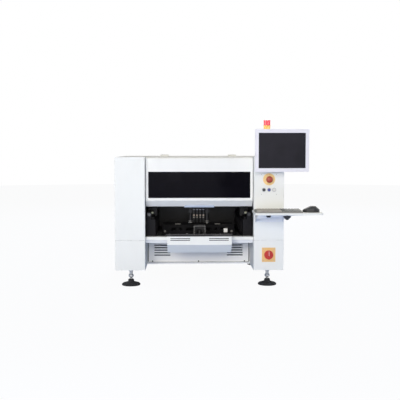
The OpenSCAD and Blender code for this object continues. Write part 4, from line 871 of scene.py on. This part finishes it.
origin = Vector((houseMid.x, houseLow.y, 0))


def spot(x, y, z):
    # a place in millimetres: across from the housing's middle, back from its front, up from the floor
    return origin + Vector((x, y, z)) * mm


def grid(facing, across, along, heights):
    # places for screws: every combination of the three lists
    return [(spot(x, y, z), facing) for x in across for y in along for z in heights]


def pairs(off, *centres):
    return [centre + side * off for centre in centres for side in (-1, 1)]


def turned(bm, profile, centre, axis, steps):
    # lathe with its outline in millimetres
    return lathe(bm, [(radius * mm, height * mm) for radius, height in profile], centre, axis, steps)


def barIn(bm, start, end, wide, deep, soft=0.0003):
    # a flat bar on the x-z plane between two points, standing out to the front
    run = end - start
    half = Vector((run.length / 2, 0, wide * mm / 2))
    made = boxIn(bm, (-half.x, -deep * mm, -half.z), half, soft, 1)
    turn = Vector((1, 0, 0)).rotation_difference(run).to_matrix().to_4x4()
    bmesh.ops.transform(bm, matrix=Matrix.Translation((start + end) / 2) @ turn, verts=made)
    return made


plug = {"profile": ((0, 0), (3.6, 0), (3.6, 0.05), (3.24, 0.1), (0, 0.1))}
sideRail = {"x": 312, "top": 455.02, "along": range(132, 852, 60)}
crossRail = {"face": 314.98, "across": range(-255, 286, 60), "z": (513.5, 574.5)}


def plugs(name, body, places):
    # flush caps over the fixing holes of a rail
    bm = bmesh.new()
    for centre, facing in places:
        turned(bm, plug["profile"], centre, facing, 14)
    return piece(name, bm, body, "black_plastic")


plugs("railPlugs", "machine", grid(up, pairs(sideRail["x"], 0), sideRail["along"], (sideRail["top"],)))
plugs("beamPlugs", "gantry", grid(front, crossRail["across"], (crossRail["face"],), crossRail["z"]))

# end bearings and motors of the side screws, guide blocks, and the head's plate
bearing = {"x": 338, "z": 474, "off": 11.5, "front": 100, "screw": (2.6, 1.8)}
motor = {"off": 15, "back": 924, "screw": (2.4, 2.0)}
block = {"x": 312, "off": 13, "ends": ((310, front), (430, back)), "z": 458, "screw": (2.2, 1.6)}
headPlate = {"x": 62, "face": 288, "z": (505, 540, 575), "screw": (2.6, 1.8)}
screws("bearingScrews", "machine", "black_metal", bearing["screw"],
       grid(front, pairs(bearing["off"], -bearing["x"], bearing["x"]), (bearing["front"],),
            pairs(bearing["off"], bearing["z"])))
screws("motorScrews", "machine", "black_metal", motor["screw"],
       grid(back, pairs(motor["off"], -bearing["x"], bearing["x"]), (motor["back"],),
            pairs(motor["off"], bearing["z"])))
screws("blockScrews", "gantry", "black_metal", block["screw"],
       [(spot(x, y, block["z"]), facing) for x in pairs(block["off"], -block["x"], block["x"])
        for y, facing in block["ends"]])
screws("headPlateScrews", "head", "black_metal", headPlate["screw"],
       grid(front, pairs(headPlate["x"], 0), (headPlate["face"],), headPlate["z"]))

limitSwitch = {"x": 324, "y": 152, "z": 480, "half": (12, 7), "deep": 30, "soft": 0.0016, "screwOff": 7,
               "screw": (2.4, 1.2)}
switchPost = {"off": 8, "half": 3, "y": (156, 178), "z": (440, 473), "soft": 0.0008}


def limitSwitches():
    # end switches of the gantry, on posts that stand on the side beams
    bm = bmesh.new()
    y, z = limitSwitch["y"], limitSwitch["z"]
    wide, tall = limitSwitch["half"]
    (y0, y1), (z0, z1), half = switchPost["y"], switchPost["z"], switchPost["half"]
    for side in (-1, 1):
        x = side * limitSwitch["x"]
        post = x + side * switchPost["off"]
        boxIn(bm, spot(x - wide, y, z - tall), spot(x + wide, y + limitSwitch["deep"], z + tall),
              limitSwitch["soft"])
        boxIn(bm, spot(post - half, y0, z0), spot(post + half, y1, z1), switchPost["soft"])
    return piece("limitSwitches", bm, "machine", "unit_case", finishes["sensor"])


limitSwitches()
screws("switchScrews", "machine", "black_metal", limitSwitch["screw"],
       grid(front, pairs(limitSwitch["screwOff"], -limitSwitch["x"], limitSwitch["x"]), (limitSwitch["y"],),
            (limitSwitch["z"],)))

# the two cameras that look down, from the lower rim up
downCamera = {"x": 58, "y": 262, "low": 403, "rings": ((1.5, 4.5), (9.0, 13.5)), "neck": 14.2, "brim": 14.6,
              "ease": 0.4,
              "lamp": ((0, 0.6), (8, 0.6), (8.6, -1.2), (12.2, -1.2), (13, -0.4), (13, 0.8), (0, 0.8)),
              "glass": ((0, -0.5), (4, -0.3), (7, 0.2), (7.6, 0.55), (0, 0.58))}
upCamera = {"place": (4, 182, 361), "glass": ((0, 0), (12, 0), (12, 0.8), (8, 1.9), (0, 2.4))}
cameraSpots = [spot(x, downCamera["y"], downCamera["low"]) for x in pairs(downCamera["x"], 0)]


def cameraRings():
    # bright clamp rings
    bm = bmesh.new()
    neck, brim, ease = (downCamera[key] for key in ("neck", "brim", "ease"))
    for centre in cameraSpots:
        for low, high in downCamera["rings"]:
            turned(bm, [(0, low), (neck, low), (brim, low + ease), (brim, high - ease), (neck, high),
                        (0, high)], centre, up, 36)
    return piece("cameraRings", bm, "head", "rail_metal", finishes["satinAlloy"])


def cameraLamps():
    # lit rims round the lenses
    bm = bmesh.new()
    for centre in cameraSpots:
        turned(bm, downCamera["lamp"], centre, up, 36)
    return piece("cameraLamps", bm, "head", "white_plastic")


def cameraGlass(name, body, places, profile):
    # a lens front for each place
    bm = bmesh.new()
    for centre in places:
        turned(bm, profile, centre, up, 32)
    return piece(name, bm, body, "screen_glass", finishes["lensGlass"])


cameraRings()
cameraLamps()
cameraGlass("downGlass", "head", cameraSpots, downCamera["glass"])
cameraGlass("upGlass", "machine", [spot(*upCamera["place"])], upCamera["glass"])


lightBox = {"x": 4, "front": 140, "waist": 37.8, "foot": 47.8, "heights": (306.5, 314, 330, 391),
            "ledges": ((38, 390.6), (35, 333)), "wide": 2.4, "deep": 0.8}
boxLamp = {"off": 34, "from": 151, "to": 213, "count": 9, "z": (368, 378),
           "profile": ((0, 0), (1.9, 0), (1.9, 1.2), (1.3, 2.0), (0, 2.4))}


def lightBoxTrim():
    # bright edge strips round the open front of the box that looks up
    bm = bmesh.new()
    middleX, y, wide, deep = (lightBox[key] for key in ("x", "front", "wide", "deep"))
    waist, foot = lightBox["waist"], lightBox["foot"]
    bottom, ankle, knee, top = lightBox["heights"]
    outline = ((waist, top), (waist, knee), (foot, ankle), (foot, bottom))
    for side in (-1, 1):
        corners = [spot(middleX + side * x, y, z) for x, z in outline]
        for upper, lower in zip(corners, corners[1:]):
            barIn(bm, lower, upper, wide, deep)
    for half, z in lightBox["ledges"]:
        barIn(bm, spot(middleX - half, y, z), spot(middleX + half, y, z), wide, deep)
    return piece("lightBoxTrim", bm, "machine", "rail_metal", finishes["satinAlloy"])


def lightBoxLamps():
    # rows of small lamps along the side walls of the box
    bm = bmesh.new()
    for y in spread(boxLamp["from"], boxLamp["to"], 0, boxLamp["count"]):
        for z in boxLamp["z"]:
            for off, facing in ((-boxLamp["off"], right), (boxLamp["off"], left)):
                turned(bm, boxLamp["profile"], spot(lightBox["x"] + off, y, z), facing, 10)
    return piece("lightBoxLamps", bm, "machine", "white_plastic")


lightBoxTrim()
lightBoxLamps()

rearSeal = {"x": 356.9, "y": 997.9, "z": (312, 819), "size": 5.9}


def rearSeals():
    # foam strips in the two back corners of the working space
    bm = bmesh.new()
    for x in pairs(rearSeal["x"], 0):
        low, high = (spot(x, rearSeal["y"], z) for z in rearSeal["z"])
        barIn(bm, low, high, rearSeal["size"], rearSeal["size"])
    return piece("rearSeals", bm, "machine", "foot_rubber")


rearSeals()

edgeClamp = {"x": 148, "half": 21, "y": (609.8, 612), "z": (351, 361), "soft": 0.0010}
thumbKnob = {"x": 240, "y": 410, "z": 326, "ribs": 24, "low": (-0.4, 7.8, 5.8), "high": (0.4, 8.4, 10.6),
             "profile": ((0, 0), (4, 0), (4, 4), (7.6, 4.6), (8, 5.2), (8, 11), (7.4, 12), (5, 12),
                         (4.4, 11.2), (0, 11.2))}


def edgeClamps():
    # pads on the rear board rail that press a board against its ledge
    bm = bmesh.new()
    (y0, y1), (z0, z1), half = edgeClamp["y"], edgeClamp["z"], edgeClamp["half"]
    for x in pairs(edgeClamp["x"], 0):
        boxIn(bm, spot(x - half, y0, z0), spot(x + half, y1, z1), edgeClamp["soft"])
    return piece("edgeClamps", bm, "board_rail", "rail_metal", finishes["satinAlloy"])


def thumbKnobs():
    # knurled thumb screws that lock the front board rail
    bm = bmesh.new()
    for x in pairs(thumbKnob["x"], 0):
        centre = spot(x, thumbKnob["y"], thumbKnob["z"])
        turned(bm, thumbKnob["profile"], centre, front, 36)
        for index in range(thumbKnob["ribs"]):
            made = boxIn(bm, Vector(thumbKnob["low"]) * mm, Vector(thumbKnob["high"]) * mm)
            turn = at(centre, front, index * 2 * math.pi / thumbKnob["ribs"])
            bmesh.ops.transform(bm, matrix=turn, verts=made)
    return piece("thumbKnobs", bm, "machine", "rail_metal", finishes["satinAlloy"])


edgeClamps()
thumbKnobs()

# the two front bed screws beside the light box are left out
bedScrew = {"size": (4.0, 2.0), "x": (30, 130, 230, 280), "y": (116, 392, 760), "z": 306, "leftOut": (30, 116)}
binScrew = {"size": (1.6, 0.8), "x": 185, "off": 8, "y": 196, "z": 345}
screws("bedScrews", "machine", "black_metal", bedScrew["size"],
       [(spot(side * x, y, bedScrew["z"]), up) for side in (-1, 1) for x in bedScrew["x"]
        for y in bedScrew["y"] if (x, y) != bedScrew["leftOut"]])
screws("binScrews", "machine", "white_plastic", binScrew["size"],
       grid(front, pairs(binScrew["off"], binScrew["x"]), (binScrew["y"],), (binScrew["z"],)))
print("gantry, head and bed dressed")

# operator column: small screws, tray, keyboard and mouse

panelPlate = {"x": 460, "off": 49.5, "z": (616, 748), "screw": (2.6, 1.2)}
bracket = {"x": (396, 456, 516), "y": -4, "z": (446, 478), "screw": (4.2, 2.4)}
screws("panelPlateScrews", "machine", "steel", panelPlate["screw"],
       grid(front, pairs(panelPlate["off"], panelPlate["x"]), (0,), panelPlate["z"]))
screws("bracketScrews", "machine", "cover_paint", bracket["screw"],
       grid(front, bracket["x"], (bracket["y"],), bracket["z"]))

grip = {"count": 16, "half": 1.1, "under": 1.0, "proud": 0.7, "soft": 0.0004, "y": -205}


def knobGrips(side, x, low, high, radius):
    # finger ribs round a clamp knob of the tray
    bm = bmesh.new()
    for index in range(grip["count"]):
        made = boxIn(bm, Vector((-grip["half"], radius - grip["under"], low)) * mm,
                     Vector((grip["half"], radius + grip["proud"], high)) * mm, grip["soft"], 1)
        turn = at(spot(x, grip["y"], 0), up, index * 2 * math.pi / grip["count"])
        bmesh.ops.transform(bm, matrix=turn, verts=made)
    return piece("trayKnob%sGrips" % side.title(), bm, "tray_knob_" + side, "black_plastic")


knobGrips("left", 434, 488.0, 495.0, 14.2)
knobGrips("right", 552, 484.5, 488.8, 24.2)

keyboard = {"x": 351, "y": -248, "z": 522, "wide": 295, "deep": 130, "margin": 7, "columns": 15, "gap": 2.4,
            "tall": 5.0, "base": 0.2, "taper": 1.7, "taperDeep": 0.8, "shift": 0.15, "dish": 0.7,
            "tilt": math.atan(6 / 130)}
# widths of the keys in each row, from the front
keyRows = ([1.5, 1, 1.5, 5, 1, 1, 1, 1.5, 1.5], [2.25] + [1] * 10 + [1.75, 1], [1.75] + [1] * 11 + [2.25],
           [1.5] + [1] * 12 + [1.5], [1] * 13 + [2], [1] * 15)
caseFoot = {"size": (4.0, 0.9), "x": (365, 632), "y": (-236, -130), "z": 513}


def keyCap(bm, low, high):
    # one keycap: sides lean in and the top is dished
    mid, half = (low + high) / 2, (high - low) / 2
    taper = keyboard["taper"] * mm
    topX, topY = half.x - taper, half.y - taper * keyboard["taperDeep"]
    made = bmesh.ops.create_grid(bm, x_segments=4, y_segments=3, size=0.5)["verts"]
    bmesh.ops.scale(bm, vec=(2 * topX, 2 * topY, 1), verts=made)
    bmesh.ops.translate(bm, vec=(mid.x, mid.y + taper * keyboard["shift"], keyboard["tall"] * mm), verts=made)
    for vert in made:
        across = (vert.co.x - mid.x) / topX
        vert.co.z -= keyboard["dish"] * mm * max(0.0, 1 - across * across)
    rim = [edge for edge in {edge for vert in made for edge in vert.link_edges} if edge.is_boundary]
    grown = bmesh.ops.extrude_edge_only(bm, edges=rim)["geom"]
    for vert in grown:
        if isinstance(vert, bmesh.types.BMVert):
            side = vert.co - mid
            vert.co.x = mid.x + math.copysign(half.x, side.x) * min(1, abs(side.x) / topX)
            vert.co.y = mid.y + math.copysign(half.y, side.y) * min(1, abs(side.y) / topY)
            vert.co.z = keyboard["base"] * mm
    edges = [item for item in grown if isinstance(item, bmesh.types.BMEdge) and item.is_boundary]
    bmesh.ops.contextual_create(bm, geom=edges)


def keyCaps():
    bm = bmesh.new()
    margin, half = keyboard["margin"], keyboard["gap"] / 2
    across = (keyboard["wide"] - 2 * margin) / keyboard["columns"]
    along = (keyboard["deep"] - 2 * margin) / len(keyRows)
    for row, widths in enumerate(keyRows):
        x, y = margin, margin + row * along
        for width in widths:
            keyCap(bm, Vector((x + half, y + half, 0)) * mm,
                   Vector((x + width * across - half, y + along - half, 0)) * mm)
            x += width * across
    place = spot(keyboard["x"], keyboard["y"], keyboard["z"])
    lean = Matrix.Translation(place) @ Matrix.Rotation(keyboard["tilt"], 4, "X")
    bmesh.ops.transform(bm, matrix=lean, verts=bm.verts[:])
    made = piece("keyCaps", bm, "tray", "key_plastic", finishes["keyTwoTone"], limit=40)
    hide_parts("keyboard_keys")
    return made


keyCaps()
screws("caseFeet", "tray", "foot_rubber", caseFoot["size"],
       grid(up, caseFoot["x"], caseFoot["y"], (caseFoot["z"],)))

wheelRib = {"count": 28, "thick": 0.0003, "half": 0.0026, "under": 0.0006, "proud": 0.00035, "soft": 0.0002}


def wheelRibs():
    # ribs across the tread of the scroll wheel
    low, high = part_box("mouse_wheel")
    radius = (high.x - low.x) / 2
    bm = bmesh.new()
    for index in range(wheelRib["count"]):
        made = boxIn(bm, (-wheelRib["thick"], -wheelRib["half"], radius - wheelRib["under"]),
                     (wheelRib["thick"], wheelRib["half"], radius + wheelRib["proud"]), wheelRib["soft"], 1)
        spin = Matrix.Rotation(index * 2 * math.pi / wheelRib["count"], 3, "Y")
        bmesh.ops.rotate(bm, verts=made, cent=(0, 0, 0), matrix=spin)
        bmesh.ops.translate(bm, verts=made, vec=(low + high) / 2)
    return piece("wheelRibs", bm, "mouse_wheel", "foot_rubber")


wheelRibs()
print("tray, keyboard and mouse dressed")

# monitor arm and the rear

vesa = {"x": 532, "z": 905, "off": 37.5, "y": -49, "screw": (3.4, 1.6)}
post = {"x": 502, "y": (12, 36, 60), "z": 866, "screw": (3.8, 2.2)}
pivot = {"off": 20.3, "y": -36, "cap": (5.0, 1.6)}
screws("vesaScrews", "monitor", "black_metal", vesa["screw"],
       grid(back, pairs(vesa["off"], vesa["x"]), (vesa["y"],), pairs(vesa["off"], vesa["z"])))
screws("postScrews", "machine", "steel", post["screw"], grid(up, (post["x"],), post["y"], (post["z"],)))
screws("pivotCaps", "monitor", "black_metal", pivot["cap"],
       [(spot(x, pivot["y"], vesa["z"]), facing)
        for x, facing in zip(pairs(pivot["off"], vesa["x"]), (left, right))])

inlet = {"x": 250, "z": 142, "pins": ((-6.5, -2.5), (0, 3.0), (6.5, -2.5)), "half": (1.0, 2.4),
         "y": (982.2, 994), "soft": 0.0003, "screwOff": 25, "screwY": 1003, "screw": (2.2, 1.1)}
# each ring of the air fitting is given by its two heights and its radius
air = {"place": (170, 1000, 142), "rings": ((19.4, 20.2, 8.2), (20.8, 21.8, 7.6)), "bore": 4.6}


def inletPins():
    # three blades in the recess of the mains inlet
    bm = bmesh.new()
    (wide, tall), (y0, y1) = inlet["half"], inlet["y"]
    for dx, dz in inlet["pins"]:
        x, z = inlet["x"] + dx, inlet["z"] + dz
        boxIn(bm, spot(x - wide, y0, z - tall), spot(x + wide, y1, z + tall), inlet["soft"], 1)
    return piece("inletPins", bm, "machine", "bright_steel")


def airRing():
    # release ring of the push-in air fitting
    bm = bmesh.new()
    for low, high, radius in air["rings"]:
        outer, inner = ([ringOf(bm, 32, size * mm, z * mm) for z in (low, high)]
                        for size in (radius, air["bore"]))
        for first, second in (outer, inner, (outer[0], inner[0]), (outer[1], inner[1])):
            bmesh.ops.bridge_loops(bm, edges=first + second)
    bmesh.ops.transform(bm, matrix=at(spot(*air["place"]), back), verts=bm.verts[:])
    return piece("airRing", bm, "machine", "blue_plastic")


inletPins()
airRing()
screws("inletScrews", "machine", "steel", inlet["screw"],
       grid(back, pairs(inlet["screwOff"], inlet["x"]), (inlet["screwY"],), (inlet["z"],)))
print("rear dressed")

# camera, light and floor

stageValues = {"cameraX": -0.2100, "cameraY": -5.0505, "cameraZ": 0.9103, "yaw": 0.022653, "pitch": 0.070809,
               "lens": 63.776, "backdrop": tint(255, 255, 255), "floor": tint(186, 208, 250),
               "floorGlow": 0.955}

cameraData = bpy.data.cameras.new("camera")
cameraData.sensor_width, cameraData.lens = 36.0, stageValues["lens"]
cameraData.clip_end = 60
camera = bpy.data.objects.new("camera", cameraData)
bpy.context.scene.collection.objects.link(camera)
camera.location = (stageValues["cameraX"], stageValues["cameraY"], stageValues["cameraZ"])
camera.rotation_euler = (math.pi / 2 - stageValues["pitch"], 0, -stageValues["yaw"])
bpy.context.scene.camera = camera


def lamp(name, place, target, power, size, colour=(1, 1, 1)):
    data = bpy.data.lights.new(name, "AREA")
    data.shape, data.size, data.energy, data.color = "DISK", size, power, colour
    made = bpy.data.objects.new(name, data)
    bpy.context.scene.collection.objects.link(made)
    made.location = place
    made.rotation_euler = (Vector(target) - Vector(place)).to_track_quat("-Z", "Y").to_euler()


lamp("keyLamp", (-2.2, -6.0, 2.0), (0, 0, 0.5), 138, 2.6, (1.0, 0.95, 0.865))
lamp("fillLamp", (0.3, -6.8, 2.3), (0, 0, 0.45), 96, 2.4, (1.0, 0.95, 0.865))
lamp("lowLamp", (-0.55, -3.4, 0.10), (-0.1, -0.1, 0.22), 27, 1.7, (0.93, 0.93, 1.0))
lamp("topLamp", (0.2, 0.6, 4.6), (0, 0.1, 0.6), 4, 3.6)
lamp("rearLamp", (0.6, 5.2, 3.6), (0, 0.2, 0.5), 150, 2.4, (1.0, 0.97, 0.92))
lamp("leftLamp", (-6.0, 0.4, 1.5), (0, 0.2, 0.5), 95, 3.0, (1.0, 0.97, 0.92))
lamp("rightLamp", (6.0, 0.4, 1.5), (0, 0.2, 0.5), 95, 3.0, (1.0, 0.97, 0.92))

world = bpy.data.worlds.new("studio")
bpy.context.scene.world = world
world.use_nodes = True
worldTree = world.node_tree
worldTree.nodes["Background"].inputs["Color"].default_value = (1, 1, 1, 1)
worldTree.nodes["Background"].inputs["Strength"].default_value = 0.2
seen = worldTree.nodes.new("ShaderNodeBackground")
seen.inputs["Color"].default_value = stageValues["backdrop"]
seen.inputs["Strength"].default_value = 1.0
path = worldTree.nodes.new("ShaderNodeLightPath")
mix = worldTree.nodes.new("ShaderNodeMixShader")
shown = path.outputs["Is Camera Ray"]
for ray in ("Is Glossy Ray", "Is Transmission Ray"):
    gather = worldTree.nodes.new("ShaderNodeMath")
    gather.operation = "MAXIMUM"
    worldTree.links.new(shown, gather.inputs[0])
    worldTree.links.new(path.outputs[ray], gather.inputs[1])
    shown = gather.outputs[0]
worldTree.links.new(shown, mix.inputs[0])
worldTree.links.new(worldTree.nodes["Background"].outputs[0], mix.inputs[1])
worldTree.links.new(seen.outputs[0], mix.inputs[2])
worldTree.links.new(mix.outputs[0], worldTree.nodes["World Output"].inputs["Surface"])

# floor: a wide pale disc that fades into the white backdrop
floorMesh = bmesh.new()
bmesh.ops.create_circle(floorMesh, cap_ends=True, segments=96, radius=14.0)
floorData = bpy.data.meshes.new("floor")
floorMesh.to_mesh(floorData)
floorMesh.free()
floor = bpy.data.objects.new("floor", floorData)
bpy.context.scene.collection.objects.link(floor)
floorFinish = Finish("floorFinish", stageValues["floor"], 0.9, Specular_IOR_Level=0.0)
glow = floorFinish.node("ShaderNodeEmission", {}, {"Color": stageValues["backdrop"], "Strength": 1.0})
rays = floorFinish.node("ShaderNodeLightPath", {}, {}, "Is Camera Ray")
paper = Wire(floorFinish, floorFinish.shader.outputs[0])
shown = floorFinish.node("ShaderNodeMixShader", {}, {0: rays * stageValues["floorGlow"], 1: paper, 2: glow})
floorFinish.tree.links.new(shown.socket, floorFinish.tree.nodes["Material Output"].inputs["Surface"])
floorData.materials.append(floorFinish.material)

bpy.context.scene.view_settings.view_transform = "Standard"
print("stage set")
